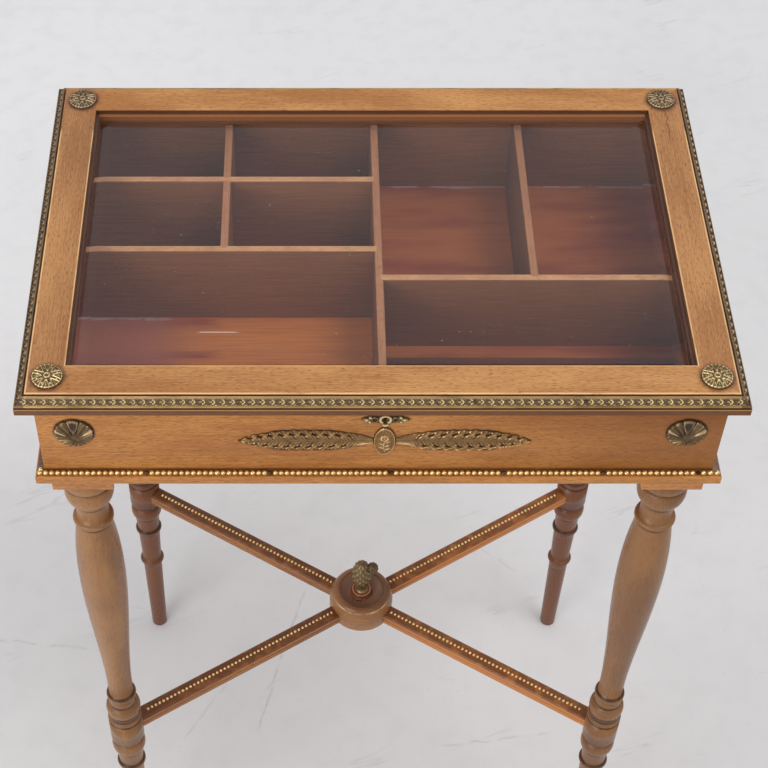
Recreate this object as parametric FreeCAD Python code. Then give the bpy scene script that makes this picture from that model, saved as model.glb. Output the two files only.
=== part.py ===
import FreeCAD, Part
import math
import os

# Collectors display table: a glazed lid over a shallow case with eight compartments,
# on four turned legs with a crossed stretcher.  Millimetres, +Z up, front towards -Y.
# The origin is on the floor, under the middle of the lid.

V = FreeCAD.Vector
X_AXIS = V(1, 0, 0)
Y_AXIS = V(0, 1, 0)
Z_AXIS = V(0, 0, 1)

# ---- driving dimensions: case -------------------------------------------------------
TABLE_HEIGHT = 760.0        # floor to the wooden top of the lid
CASE_WIDTH = 500.0
CASE_DEPTH = 322.0
CASE_HEIGHT = 88.9
WALL = 12.0
FLOOR_THICKNESS = 8.5
FLOOR_REBATE = 5.0
ARRIS = 0.8                 # small bevel on exposed long edges

DIVIDER_THICKNESS = 6.3
DIVIDER_DROP = 5.2          # divider tops below the lid
HOUSING = 2.0               # how far a divider end is let into its neighbour
CENTRE_DIVIDER_X = 1.8
LEFT_REAR_DEPTH = 69.6      # clear sizes of the compartments that set the dividers
LEFT_MIDDLE_DEPTH = 72.7
LEFT_CELL_WIDTH = 117.2
RIGHT_REAR_DEPTH = 179.5
RIGHT_CELL_WIDTH = 112.4

BASE_REACH = 6.4            # base moulding past the case
BASE_HEIGHT = 9.2
BEAD_STRIP_SETBACK = 1.2
BEAD_STRIP_BACKING = 0.8
BEAD_RADIUS = 2.0

# ---- lid ----------------------------------------------------------------------------
LID_THICKNESS = 15.4
LID_OVERHANG_SIDE = 11.0
LID_OVERHANG_FRONT = 13.0   # and at the back
RAIL_WIDTH = 27.2           # flat top of a lid rail
BAND_REACH = 7.5            # how far the sloped band stands out past the flat top
FILLET_HEIGHT = 7.3         # wooden fillet below the band
BAND_SEAT = 1.6             # ledge that the band's lower edge stands on
BAND_GAP = 2.0              # from the flat top down to the band's bed
BAND_THICKNESS = 1.2
BAND_RIB = 0.7              # height of the band's two plain edge ribs
BAND_RIB_WIDTH = 1.3
GLASS_THICKNESS = 4.5
GLASS_CLEARANCE = 0.5
GLASS_LEDGE = 3.5           # width of the ledge under the pane
LEDGE_THICKNESS = 3.6
BEVEL_WIDTH = 13.0          # ground margin of the pane
BEVEL_DROP = 3.0
GLAZING_WIDTH = 2.4
GLAZING_SINK = 4.5          # glazing bead below the flat top
ROSETTE_RADIUS = 11.5
ROSETTE_HEIGHT = 4.0
ROSETTE_MARGIN = 0.3        # rosette to the rail's inner edge

# ---- legs, from the floor up --------------------------------------------------------
PAD_SIZE = 46.0
PAD_THICKNESS = 14.3
PAD_INSET_SIDE = 3.8        # pad in from the case's side
PAD_INSET_FRONT = 0.0
LEG_TENON_RADIUS = 10.0
LEG_TENON_IN_FLOOR = 5.0
GROOVE = 1.4                # depth of the small grooves beside the rings
GROOVE_HEIGHT = 1.2
FOOT_RADIUS = 8.2
SHIN_RADIUS = 10.0
SHIN_RING_RADIUS = 12.7
SHIN_RING_HEIGHT = 5.0
SHIN_RING_DROP = 114.3      # ring's middle below the stretcher's underside
CALF_RADIUS = 11.4
CALF_RING_RADIUS = 13.7
CALF_RING_DROP = 57.6
TORUS_RADIUS = 15.8
TORUS_HEIGHT = 14.5
TORUS_DROP = 23.5
LEG_DRUM_RADIUS = 15.7
LEG_DRUM_BELOW = 9.0        # drum past the stretcher's underside and top
LEG_DRUM_ABOVE = 10.5
COLLAR_RADIUS = 15.8
COLLAR_HEIGHT = 12.5
COLLAR_RISE = 30.5          # collar's middle above the stretcher's top
KNEE_RADIUS = 11.2
KNEE_RING_RADIUS = 13.6
KNEE_RING_HEIGHT = 6.5
KNEE_RING_RISE = 53.0
WAIST_RISE = 78.0
THIGH_RADIUS = 16.3         # baluster a third of the way below its belly
BELLY_RADIUS = 19.0
BELLY_DROP = 121.0          # belly below the leg's top
THROAT_RADIUS = 14.2
THROAT_RING_RADIUS = 16.4
THROAT_RING_HEIGHT = 4.5
THROAT_RING_DROP = 62.8
NECK_RADIUS = 12.9
BULB_RADIUS = 19.2
BULB_HEIGHT = 23.5
BULB_DROP = 30.0
CAP_RADIUS = 20.2
CAP_EDGE = 18.0
CAP_HEIGHT = 14.8
CAP_DROP = 9.2

# ---- stretcher ----------------------------------------------------------------------
STRETCHER_TOP = 253.5
ARM_WIDTH = 15.0
ARM_HEIGHT = 12.5
ARM_GROOVE = 0.9
ARM_TENON_RADIUS = 3.5
ARM_TENON_LENGTH = 8.0
ARM_BEAD_RADIUS = 1.6
ARM_BEAD_LEG_GAP = 6.0      # bare wood between the leg's drum and the bead strip
ARM_BEAD_HUB_GAP = 2.0
HUB_RADIUS = 31.0
HUB_BELOW = 2.5             # hub past the stretcher's underside
HUB_ROUND = 2.5
HUB_WALL_RISE = 2.0         # wall's upper edge above the stretcher's top
HUB_RISE = 15.0             # rim above the stretcher's top
HUB_RIM_RADIUS = 27.0
HUB_DISH_RADIUS = 21.0
HUB_DISH_DEPTH = 6.0
HUB_BOSS_RADIUS = 10.7
FINIAL_HEIGHT = 45.0
FINIAL_RADIUS = 10.8
FINIAL_FOOT_RADIUS = 5.6
FINIAL_FOOT_HEIGHT = 6.0
FINIAL_TIP_RADIUS = 4.0
FINIAL_LOBE_RADIUS = 6.2
FINIAL_LOBE_OUT = 9.8       # side lobe's middle from the finial's axis
FINIAL_LOBE_DROP = 10.0     # and below its tip
STUD_RADIUS = 2.0
STUD_IN_FINIAL = 9.0
NUT_RADIUS = 5.0
NUT_HEIGHT = 4.0

# ---- brass mounts of the front ------------------------------------------------------
ORNAMENT_X = 3.4            # the lock and its ornament sit just right of the middle
ORNAMENT_DROP = 43.1        # medallion's centre below the lid
SHELL_RADIUS = 15.2
SHELL_HEIGHT = 4.0
SHELL_DROP = 33.6           # shell's centre below the lid
MOUNT_RIM = 1.0             # plain edge of the domed mounts
SPRAY_LENGTH = 99.5
SPRAY_WIDTH = 25.0
SPRAY_THICKNESS = 2.2
MEDALLION_WIDTH = 16.6
MEDALLION_HEIGHT = 31.6
MEDALLION_THICKNESS = 3.0
KEYHOLE_DROP = 18.8         # keyhole below the lid
KEYHOLE_RADIUS = 2.3
KEYHOLE_SLOT_WIDTH = 1.6
KEYHOLE_SLOT_LENGTH = 4.6
ESCUTCHEON_THICKNESS = 1.2
ESCUTCHEON_RADIUS = 6.0
ESCUTCHEON_EAR_RADIUS = 3.6
ESCUTCHEON_EAR_HOLE = 1.5
ESCUTCHEON_EAR_X = 12.6

# ---- lock ---------------------------------------------------------------------------
LOCK_WIDTH = 36.0
LOCK_HEIGHT = 30.5
LOCK_COVER = 3.5            # wood left in front of the lock
LOCK_PLATE = 1.0
SELVEDGE_LENGTH = 56.0
SELVEDGE_THICKNESS = 1.6
KEY_SPACE_WIDTH = 16.0
KEY_SPACE_HEIGHT = 13.0
KEY_PIN_RADIUS = 0.8
BOLT_WIDTH = 18.0
BOLT_SHOULDER = 4.5         # bolt's foot past its head on each side
BOLT_FOOT_HEIGHT = 6.5
BOLT_THICKNESS = 3.0
BOLT_CLEARANCE = 0.2
BOLT_SEAT = 0.3
BOLT_TRAVEL = 6.0
BOLT_POCKET = 1.5           # room in the lid past the thrown bolt
STRIKE_LENGTH = 46.0
STRIKE_THICKNESS = 1.2

# ---- hinges and screws --------------------------------------------------------------
HINGE_X = 150.0
HINGE_LENGTH = 40.0
HINGE_BARREL_RADIUS = 2.75
HINGE_PIN_RADIUS = 1.2
HINGE_PIN_CLEARANCE = 0.05
HINGE_PIN_HEAD = 1.0
HINGE_PIN_HEAD_RADIUS = 2.0
HINGE_LEAF = 1.2
HINGE_LEAF_MARGIN = 1.5     # leaf's edge to the wall's inner face
HINGE_GAP = 0.3
SCREW_RADIUS = 1.1
SCREW_HEAD_RADIUS = 2.2
SCREW_HEAD = 1.1
SCREW_LENGTH = 8.0
SCREW_MARGIN = 6.0          # strike screws from the plate's ends
PAD_SCREW_RADIUS = 1.8
PAD_SCREW_HEAD_RADIUS = 3.4
PAD_SCREW_HEAD = 2.0
PAD_SCREW_MARGIN = 6.5      # pad screws from the pad's edges
PAD_SCREW_BITE = 6.0

# ---- heights and half sizes worked out from them ------------------------------------
LID_Z = TABLE_HEIGHT - LID_THICKNESS
CASE_Z = LID_Z - CASE_HEIGHT
LEG_TOP = CASE_Z - PAD_THICKNESS
FLOOR_TOP = CASE_Z + FLOOR_THICKNESS
DIVIDER_TOP = LID_Z - DIVIDER_DROP
CASE_X, CASE_Y = CASE_WIDTH / 2, CASE_DEPTH / 2
INNER_X, INNER_Y = CASE_X - WALL, CASE_Y - WALL
LID_X, LID_Y = CASE_X + LID_OVERHANG_SIDE, CASE_Y + LID_OVERHANG_FRONT
OPENING_INSET = BAND_REACH + RAIL_WIDTH
GLASS_INSET = OPENING_INSET + GLASS_CLEARANCE
GLASS_Z = LID_Z + LEDGE_THICKNESS
GLASS_TOP = GLASS_Z + GLASS_THICKNESS
LEG_X = CASE_X - PAD_INSET_SIDE - PAD_SIZE / 2
LEG_Y = CASE_Y - PAD_INSET_FRONT - PAD_SIZE / 2
LEG_TO_HUB = math.hypot(LEG_X, LEG_Y)
STRETCHER_UNDER = STRETCHER_TOP - ARM_HEIGHT
HUB_UNDER = STRETCHER_UNDER - HUB_BELOW
HUB_RIM = STRETCHER_TOP + HUB_RISE
HINGE_Y = CASE_Y + HINGE_BARREL_RADIUS + HINGE_GAP
LOCK_DEPTH = WALL - LOCK_COVER
LOCK_Y = -INNER_Y - LOCK_DEPTH / 2
KEYHOLE_Z = LID_Z - KEYHOLE_DROP
SAW_SPARE = 1.0             # how far the mitre's cutting block stands past the strip
ALONG = math.cos(math.radians(5))  # an edge within 5 degrees of a direction runs along it
SIDES = ("front", "right", "back", "left")
CORNERS = {"front_left": (-1, -1), "front_right": (1, -1), "back_left": (-1, 1), "back_right": (1, 1)}

parts = {}


# ---- shared shapes ------------------------------------------------------------------
def block(x0, x1, y0, y1, z0, z1):
    return Part.makeBox(x1 - x0, y1 - y0, z1 - z0, V(x0, y0, z0))


def block_at(x, y, width, depth, z0, z1):
    """Upright block round a centre line."""
    return block(x - width / 2, x + width / 2, y - depth / 2, y + depth / 2, z0, z1)


def prism(points, direction):
    """Closed polygon of points, pushed along a direction."""
    return Part.Face(Part.makePolygon(points + points[:1])).extrude(direction)


def mitred_strip(section, half_x, half_y, side):
    """Strip along one side of a rectangle, mitred at 45 degrees at both ends.
    Each section point is (distance in from the rectangle's edge, height)."""
    along, out = (half_x, half_y) if side in ("front", "back") else (half_y, half_x)
    bar = prism([V(-along, inset - out, z) for inset, z in section], X_AXIS * 2 * along)
    inner = max(inset for inset, z in section) + SAW_SPARE
    low = min(z for inset, z in section) - SAW_SPARE
    high = max(z for inset, z in section) + SAW_SPARE
    corners = [V(way * (along - inset), inset - out, low)
               for way, inset in ((-1, -SAW_SPARE), (1, -SAW_SPARE), (1, inner), (-1, inner))]
    strip = bar.common(prism(corners, Z_AXIS * (high - low)))
    strip.rotate(V(0, 0, 0), Z_AXIS, SIDES.index(side) * 90)
    return strip


def half_round(centre, base, radius, steps=8):
    """Points of a half circle standing on a height, from one side to the other."""
    angles = [math.pi * i / steps for i in range(steps + 1)]
    return [(centre - radius * math.cos(t), base + radius * math.sin(t)) for t in angles]


class Turning:
    """Half outline of a turned piece, from the axis upwards: lines, rings and curves."""

    def __init__(self, radius, z):
        self.edges = [Part.makeLine(V(0, 0, z), V(radius, 0, z))]
        self.bottom = z
        self.here = V(radius, 0, z)

    def line(self, radius, z):
        there = V(radius, 0, z)
        self.edges.append(Part.makeLine(self.here, there))
        self.here = there
        return self

    def swell(self, bulge, radius, z):
        """Arc that swells (or hollows) to a radius half way to the new point."""
        there = V(radius, 0, z)
        middle = V(bulge, 0, (self.here.z + z) / 2)
        self.edges.append(Part.Arc(self.here, middle, there).toShape())
        self.here = there
        return self

    def ring(self, middle, height, radius, shaft):
        """Rounded ring round the shaft, with a small step up to it on both sides."""
        edge = (shaft + radius) / 2
        self.line(shaft, middle - height / 2).line(edge, middle - height / 2)
        return self.swell(radius, edge, middle + height / 2).line(shaft, middle + height / 2)

    def curve(self, points):
        spline = Part.BSplineCurve()
        spline.interpolate([self.here] + [V(radius, 0, z) for radius, z in points])
        self.edges.append(spline.toShape())
        self.here = V(points[-1][0], 0, points[-1][1])
        return self

    def solid(self):
        top = V(0, 0, self.here.z)
        closing = [Part.makeLine(self.here, top), Part.makeLine(top, V(0, 0, self.bottom))]
        face = Part.Face(Part.Wire(Part.sortEdges(self.edges + closing)[0]))
        return face.revolve(V(0, 0, 0), Z_AXIS, 360)


def dome(radius, height, rim):
    """Low round dome on a flat base at the origin, facing +Z."""
    shoulder = (0.72 * radius, rim + 0.62 * (height - rim))
    return Turning(radius, 0).line(radius, rim).curve([shoulder, (0.04 * radius, height)]).solid()


def facing_front(shape, x, z):
    """Lays a shape drawn on the XY plane against the case's front, its +Z turned to -Y."""
    shape.rotate(V(0, 0, 0), X_AXIS, 90)
    shape.translate(V(x, -CASE_Y, z))
    return shape


def screw(x, y, z, way, size):
    """Flat-headed screw driven up (1) or down (-1) from its head's face."""
    radius, length, head_radius, head = size
    cone = Part.makeCone(head_radius, radius, head, V(x, y, z), Z_AXIS * way)
    shank = Part.makeCylinder(radius, length, V(x, y, z), Z_AXIS * way)
    return cone.fuse(shank).removeSplitter()


def cut_all(shape, tools):
    for tool in tools:
        shape = shape.cut(tool)
    return shape


def group(shapes):
    return Part.makeCompound(shapes)


# ---- hinges -------------------------------------------------------------------------
SMALL_SCREW = (SCREW_RADIUS, SCREW_LENGTH, SCREW_HEAD_RADIUS, SCREW_HEAD)


def hinge_span(sx):
    return sx * HINGE_X - HINGE_LENGTH / 2, sx * HINGE_X + HINGE_LENGTH / 2


def knuckle_spans(sx, is_upper):
    """One middle knuckle for the lid's leaf, two outer knuckles for the case's leaf."""
    x0, x1 = hinge_span(sx)
    third = HINGE_LENGTH / 3
    if is_upper:
        return [(x0 + third + HINGE_GAP, x1 - third - HINGE_GAP)]
    return [(x0, x0 + third), (x1 - third, x1)]


def along_pin(radius, x0, x1):
    return Part.makeCylinder(radius, x1 - x0, V(x0, HINGE_Y, LID_Z), X_AXIS)


def leaf_blank(sx, is_upper):
    x0, x1 = hinge_span(sx)
    z0 = LID_Z if is_upper else LID_Z - HINGE_LEAF
    return block(x0, x1, INNER_Y + HINGE_LEAF_MARGIN, HINGE_Y, z0, z0 + HINGE_LEAF)


def leaf_screws(sx, is_upper):
    y = (INNER_Y + CASE_Y) / 2
    return [screw(sx * HINGE_X + i * HINGE_LENGTH / 3, y, LID_Z, 1 if is_upper else -1, SMALL_SCREW)
            for i in (-1, 0, 1)]


def knuckle_recess(sx):
    """Room in the lid's overhang for the barrel and the pin's heads."""
    reach = HINGE_BARREL_RADIUS + HINGE_GAP
    length = HINGE_LENGTH + 2 * (HINGE_PIN_HEAD + HINGE_GAP)
    return block_at(sx * HINGE_X, HINGE_Y, length, 2 * reach, LID_Z, LID_Z + reach)


def hinge_leaf(sx, is_upper):
    leaf = leaf_blank(sx, is_upper)
    for x0, x1 in knuckle_spans(sx, not is_upper):
        leaf = leaf.cut(along_pin(HINGE_BARREL_RADIUS + HINGE_GAP, x0 - HINGE_GAP, x1 + HINGE_GAP))
    for x0, x1 in knuckle_spans(sx, is_upper):
        leaf = leaf.fuse(along_pin(HINGE_BARREL_RADIUS, x0, x1))
    leaf = leaf.cut(along_pin(HINGE_PIN_RADIUS + HINGE_PIN_CLEARANCE, *hinge_span(sx)))
    return cut_all(leaf, leaf_screws(sx, is_upper))


def hinge_pin(sx):
    x0, x1 = hinge_span(sx)
    pin = along_pin(HINGE_PIN_RADIUS, x0, x1)
    for start, end in ((x0 - HINGE_PIN_HEAD, x0), (x1, x1 + HINGE_PIN_HEAD)):
        pin = pin.fuse(along_pin(HINGE_PIN_HEAD_RADIUS, start, end))
    return pin.removeSplitter()


def build_hinges():
    parts["hinge_upper_leaves"] = group([hinge_leaf(sx, True) for sx in (-1, 1)])
    parts["hinge_lower_leaves"] = group([hinge_leaf(sx, False) for sx in (-1, 1)])
    parts["hinge_pins"] = group([hinge_pin(sx) for sx in (-1, 1)])


# ---- lock ---------------------------------------------------------------------------
def bolt_passage(z0, z1, clearance):
    return block_at(ORNAMENT_X, LOCK_Y, BOLT_WIDTH + 2 * clearance, BOLT_THICKNESS + 2 * clearance, z0, z1)


def keyhole(y0, y1):
    eye = Part.makeCylinder(KEYHOLE_RADIUS, y1 - y0, V(ORNAMENT_X, y0, KEYHOLE_Z), Y_AXIS)
    slot = block(ORNAMENT_X - KEYHOLE_SLOT_WIDTH / 2, ORNAMENT_X + KEYHOLE_SLOT_WIDTH / 2, y0, y1,
                 KEYHOLE_Z - KEYHOLE_SLOT_LENGTH, KEYHOLE_Z)
    return eye.fuse(slot).removeSplitter()


def lock_blank():
    body = block_at(ORNAMENT_X, LOCK_Y, LOCK_WIDTH, LOCK_DEPTH, LID_Z - LOCK_HEIGHT, LID_Z)
    selvedge = block_at(ORNAMENT_X, LOCK_Y, SELVEDGE_LENGTH, LOCK_DEPTH, LID_Z - SELVEDGE_THICKNESS, LID_Z)
    return body.fuse(selvedge).removeSplitter()


def build_lock():
    key_space_z = LID_Z - LOCK_HEIGHT + LOCK_PLATE
    bolt_z = key_space_z + KEY_SPACE_HEIGHT
    depth = LOCK_DEPTH - 2 * LOCK_PLATE
    foot_width = BOLT_WIDTH + 2 * BOLT_SHOULDER
    rise = BOLT_FOOT_HEIGHT + BOLT_TRAVEL + 2 * BOLT_SEAT
    key_space = block_at(ORNAMENT_X, LOCK_Y, KEY_SPACE_WIDTH, depth, key_space_z, bolt_z)
    bolt_space = block_at(ORNAMENT_X, LOCK_Y, foot_width + 2 * BOLT_CLEARANCE, depth, bolt_z, bolt_z + rise)
    front = LOCK_Y - LOCK_DEPTH / 2
    slot = bolt_passage(bolt_z, LID_Z, BOLT_CLEARANCE)
    openings = [key_space, bolt_space, slot, keyhole(front, front + LOCK_PLATE)]
    key_pin = Part.makeCylinder(KEY_PIN_RADIUS, depth, V(ORNAMENT_X, front + LOCK_PLATE, KEYHOLE_Z), Y_AXIS)
    parts["lock_case"] = cut_all(lock_blank(), openings).fuse(key_pin).removeSplitter()
    foot_z = bolt_z + BOLT_SEAT
    foot = block_at(ORNAMENT_X, LOCK_Y, foot_width, BOLT_THICKNESS, foot_z, foot_z + BOLT_FOOT_HEIGHT)
    head = block_at(ORNAMENT_X, LOCK_Y, BOLT_WIDTH, BOLT_THICKNESS, foot_z, LID_Z - BOLT_SEAT)
    parts["lock_bolt"] = foot.fuse(head).removeSplitter()


# ---- lid ----------------------------------------------------------------------------
def band_bed():
    """Lower and upper end of the sloped bed that carries the brass band."""
    return (BAND_SEAT, LID_Z + FILLET_HEIGHT), (BAND_REACH, TABLE_HEIGHT - BAND_GAP)


def rail_section():
    low, high = band_bed()
    inner = OPENING_INSET
    return [(ARRIS, LID_Z), (0, LID_Z + ARRIS), (0, low[1]), low, high, (BAND_REACH, TABLE_HEIGHT - ARRIS),
            (BAND_REACH + ARRIS, TABLE_HEIGHT), (inner - ARRIS / 2, TABLE_HEIGHT),
            (inner, TABLE_HEIGHT - ARRIS / 2), (inner, GLASS_Z), (inner + GLASS_LEDGE, GLASS_Z),
            (inner + GLASS_LEDGE, LID_Z)]


def band_section():
    """Flat band on the sloped bed, with a plain rib along each edge."""
    (u0, z0), (u1, z1) = band_bed()
    width = math.hypot(u1 - u0, z1 - z0)
    run, rise = (u1 - u0) / width, (z1 - z0) / width
    crest = BAND_THICKNESS + BAND_RIB
    profile = [(0, 0), (width, 0), (width, crest), (width - BAND_RIB_WIDTH, crest),
               (width - BAND_RIB_WIDTH, BAND_THICKNESS), (BAND_RIB_WIDTH, BAND_THICKNESS),
               (BAND_RIB_WIDTH, crest), (0, crest)]
    return [(u0 + along * run - out * rise, z0 + along * rise + out * run) for along, out in profile]


def bevel_height(inset):
    """Height of the pane's ground margin at a distance in from the lid's edge."""
    share = min(max((inset - GLASS_INSET) / BEVEL_WIDTH, 0.0), 1.0)
    return GLASS_TOP - BEVEL_DROP * (1 - share)


def glass_pane():
    x, y = LID_X - GLASS_INSET, LID_Y - GLASS_INSET
    edge_z = GLASS_TOP - BEVEL_DROP
    turns = ((-1, -1), (1, -1), (1, 1), (-1, 1))
    wires = []
    for inset, z in ((0.0, edge_z), (BEVEL_WIDTH, GLASS_TOP)):
        corners = [V(sx * (x - inset), sy * (y - inset), z) for sx, sy in turns]
        wires.append(Part.makePolygon(corners + corners[:1]))
    return block(-x, x, -y, y, GLASS_Z, edge_z).fuse(Part.makeLoft(wires, True, True)).removeSplitter()


def glazing_section():
    start, end = OPENING_INSET, OPENING_INSET + GLAZING_WIDTH
    top = TABLE_HEIGHT - GLAZING_SINK
    return [(start, bevel_height(start)), (start, top), (end - ARRIS, top), (end, top - ARRIS),
            (end, bevel_height(end)), (GLASS_INSET, bevel_height(GLASS_INSET))]


def build_lid():
    rails = {side: mitred_strip(rail_section(), LID_X, LID_Y, side) for side in SIDES}
    plate = block_at(ORNAMENT_X, LOCK_Y, STRIKE_LENGTH, LOCK_DEPTH, LID_Z, LID_Z + STRIKE_THICKNESS)
    pocket = bolt_passage(LID_Z, LID_Z + BOLT_TRAVEL + BOLT_POCKET, 2 * BOLT_CLEARANCE)
    reach = STRIKE_LENGTH / 2 - SCREW_MARGIN
    strike_screws = [screw(ORNAMENT_X + way * reach, LOCK_Y, LID_Z, 1, SMALL_SCREW) for way in (-1, 1)]
    rails["front"] = cut_all(rails["front"], [plate, pocket] + strike_screws)
    hinge_screws = leaf_screws(-1, True) + leaf_screws(1, True)
    for sx in (-1, 1):
        rails["back"] = cut_all(rails["back"], [leaf_blank(sx, True), knuckle_recess(sx)])
    parts["lid_front_rail"] = rails["front"]
    parts["lid_back_rail"] = cut_all(rails["back"], hinge_screws)
    parts["lid_left_stile"] = rails["left"]
    parts["lid_right_stile"] = rails["right"]
    parts["lid_glass"] = glass_pane()
    parts["glazing_beads"] = group([mitred_strip(glazing_section(), LID_X, LID_Y, side) for side in SIDES])
    for side in SIDES:
        parts["lid_band_" + side] = mitred_strip(band_section(), LID_X, LID_Y, side)
    parts["strike_plate"] = cut_all(plate, [pocket] + strike_screws)
    parts["lid_screws"] = group(strike_screws + hinge_screws)
    inset = OPENING_INSET - ROSETTE_RADIUS - ROSETTE_MARGIN
    for name, (sx, sy) in CORNERS.items():
        rosette = dome(ROSETTE_RADIUS, ROSETTE_HEIGHT, MOUNT_RIM)
        rosette.translate(V(sx * (LID_X - inset), sy * (LID_Y - inset), TABLE_HEIGHT))
        parts["rosette_" + name] = rosette


# ---- case ---------------------------------------------------------------------------
def divider(x0, x1, y0, y1):
    """Upright board with its two long top edges eased."""
    board = block(x0, x1, y0, y1, FLOOR_TOP, DIVIDER_TOP)
    long_way = X_AXIS if x1 - x0 > y1 - y0 else Y_AXIS
    top_edges = [edge for edge in board.Edges if edge.CenterOfMass.z > DIVIDER_TOP - ARRIS
                 and abs(edge.tangentAt(edge.FirstParameter).dot(long_way)) > ALONG]
    return board.makeFillet(ARRIS, top_edges)


def build_dividers():
    thick = DIVIDER_THICKNESS
    centre_left, centre_right = CENTRE_DIVIDER_X - thick / 2, CENTRE_DIVIDER_X + thick / 2
    left_end, right_end, back_end = -INNER_X - HOUSING, INNER_X + HOUSING, INNER_Y + HOUSING
    rear_y = INNER_Y - LEFT_REAR_DEPTH - thick
    left_y = rear_y - LEFT_MIDDLE_DEPTH - thick
    right_y = INNER_Y - RIGHT_REAR_DEPTH - thick
    left_x = LEFT_CELL_WIDTH - INNER_X
    right_x = centre_right + RIGHT_CELL_WIDTH
    centre = divider(centre_left, centre_right, -INNER_Y, back_end)
    rear = divider(left_end, centre_left + HOUSING, rear_y, rear_y + thick)
    left = divider(left_end, centre_left + HOUSING, left_y, left_y + thick)
    right = divider(centre_right - HOUSING, right_end, right_y, right_y + thick)
    left_cross = divider(left_x, left_x + thick, left_y + thick - HOUSING, back_end)
    right_cross = divider(right_x, right_x + thick, right_y + thick - HOUSING, back_end)
    # The rear board and the left cross board are halved over each other.
    half_height = (FLOOR_TOP + DIVIDER_TOP) / 2
    rear = rear.cut(block(left_x, left_x + thick, rear_y, rear_y + thick, FLOOR_TOP, half_height))
    parts["divider_centre"] = cut_all(centre, [rear, left, right])
    parts["divider_left_rear"] = rear
    parts["divider_left_middle"] = left.cut(left_cross)
    parts["divider_left_cross"] = left_cross.cut(rear)
    parts["divider_right_middle"] = right.cut(right_cross)
    parts["divider_right_cross"] = right_cross


def pad_screws(sx, sy):
    """Two screws up through a pad into the floor board, at its two inner corners."""
    size = (PAD_SCREW_RADIUS, PAD_THICKNESS + PAD_SCREW_BITE, PAD_SCREW_HEAD_RADIUS, PAD_SCREW_HEAD)
    offset = PAD_SIZE / 2 - PAD_SCREW_MARGIN
    y = sy * (LEG_Y - offset)
    return [screw(sx * (LEG_X + way * offset), y, LEG_TOP, 1, size) for way in (-1, 1)]


def leg_tenon(sx, sy):
    length = PAD_THICKNESS + LEG_TENON_IN_FLOOR
    return Part.makeCylinder(LEG_TENON_RADIUS, length, V(sx * LEG_X, sy * LEG_Y, LEG_TOP))


def build_case():
    """Four mitred panels, rebated below for the floor board and housed for the dividers."""
    step = WALL - FLOOR_REBATE
    section = [(0, CASE_Z), (0, LID_Z), (WALL, LID_Z), (WALL, FLOOR_TOP), (step, FLOOR_TOP), (step, CASE_Z)]
    boards = [shape for name, shape in parts.items() if name.startswith("divider_")]
    leaf_fixings = leaf_screws(-1, False) + leaf_screws(1, False)
    for side in SIDES:
        panel = cut_all(mitred_strip(section, CASE_X, CASE_Y, side), boards)
        if side == "front":
            panel = cut_all(panel, [lock_blank(), keyhole(-CASE_Y, -INNER_Y)])
        if side == "back":
            panel = cut_all(panel, [leaf_blank(-1, False), leaf_blank(1, False)] + leaf_fixings)
        parts["case_" + side + "_panel"] = panel
    board = block_at(0, 0, CASE_WIDTH - 2 * step, CASE_DEPTH - 2 * step, CASE_Z, FLOOR_TOP)
    pad_fixings = []
    for sx, sy in CORNERS.values():
        board = board.cut(leg_tenon(sx, sy))
        pad_fixings += pad_screws(sx, sy)
    parts["case_floor"] = cut_all(board, pad_fixings)
    parts["case_screws"] = group(leaf_fixings + pad_fixings)


def build_base():
    half_x, half_y = CASE_X + BASE_REACH, CASE_Y + BASE_REACH
    top = CASE_Z + BASE_HEIGHT
    backing = top + BEAD_STRIP_BACKING
    middle = (BEAD_STRIP_SETBACK + BASE_REACH) / 2
    moulding = [(2 * ARRIS, CASE_Z), (0, CASE_Z + 2 * ARRIS), (0, top - ARRIS), (ARRIS, top), (BASE_REACH, top),
                (BASE_REACH, CASE_Z)]
    outer = [(BEAD_STRIP_SETBACK, top), (BEAD_STRIP_SETBACK, backing)]
    inner = [(BASE_REACH, backing), (BASE_REACH, top)]
    beaded = outer + half_round(middle, backing, BEAD_RADIUS) + inner
    strips = [mitred_strip(beaded if side == "front" else outer + inner, half_x, half_y, side) for side in SIDES]
    parts["base_bead_strips"] = group(strips)
    for side in SIDES:
        parts["base_moulding_" + side] = mitred_strip(moulding, half_x, half_y, side)


# ---- brass mounts of the front ------------------------------------------------------
def laurel_leaf(way):
    """Long leaf shape from the medallion's middle line to a pointed tip."""
    root = V(way * MEDALLION_WIDTH / 2, 0, 0)
    tip = root + X_AXIS * way * SPRAY_LENGTH
    middle, half = (root + tip) / 2, Y_AXIS * SPRAY_WIDTH / 2
    edges = [Part.Arc(root, middle + half, tip).toShape(), Part.Arc(root, middle - half, tip).toShape()]
    return Part.Face(Part.Wire(edges)).extrude(Z_AXIS * SPRAY_THICKNESS)


def medallion():
    oval = Part.Ellipse(V(0, 0, 0), MEDALLION_HEIGHT / 2, MEDALLION_WIDTH / 2).toShape()
    oval.rotate(V(0, 0, 0), Z_AXIS, 90)
    return Part.Face(Part.Wire([oval])).extrude(Z_AXIS * MEDALLION_THICKNESS)


def escutcheon():
    """Round plate with the keyhole and a pierced ear on each side."""
    thick = ESCUTCHEON_THICKNESS
    plate = Part.makeCylinder(ESCUTCHEON_RADIUS, thick)
    plate = plate.fuse(block_at(0, 0, 2 * ESCUTCHEON_EAR_X, ESCUTCHEON_EAR_RADIUS, 0, thick))
    for way in (-1, 1):
        centre = V(way * ESCUTCHEON_EAR_X, 0, 0)
        plate = plate.fuse(Part.makeCylinder(ESCUTCHEON_EAR_RADIUS, thick, centre))
        plate = plate.cut(Part.makeCylinder(ESCUTCHEON_EAR_HOLE, thick, centre))
    plate = facing_front(plate.removeSplitter(), ORNAMENT_X, KEYHOLE_Z)
    return plate.cut(keyhole(-CASE_Y - thick, -CASE_Y))


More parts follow.
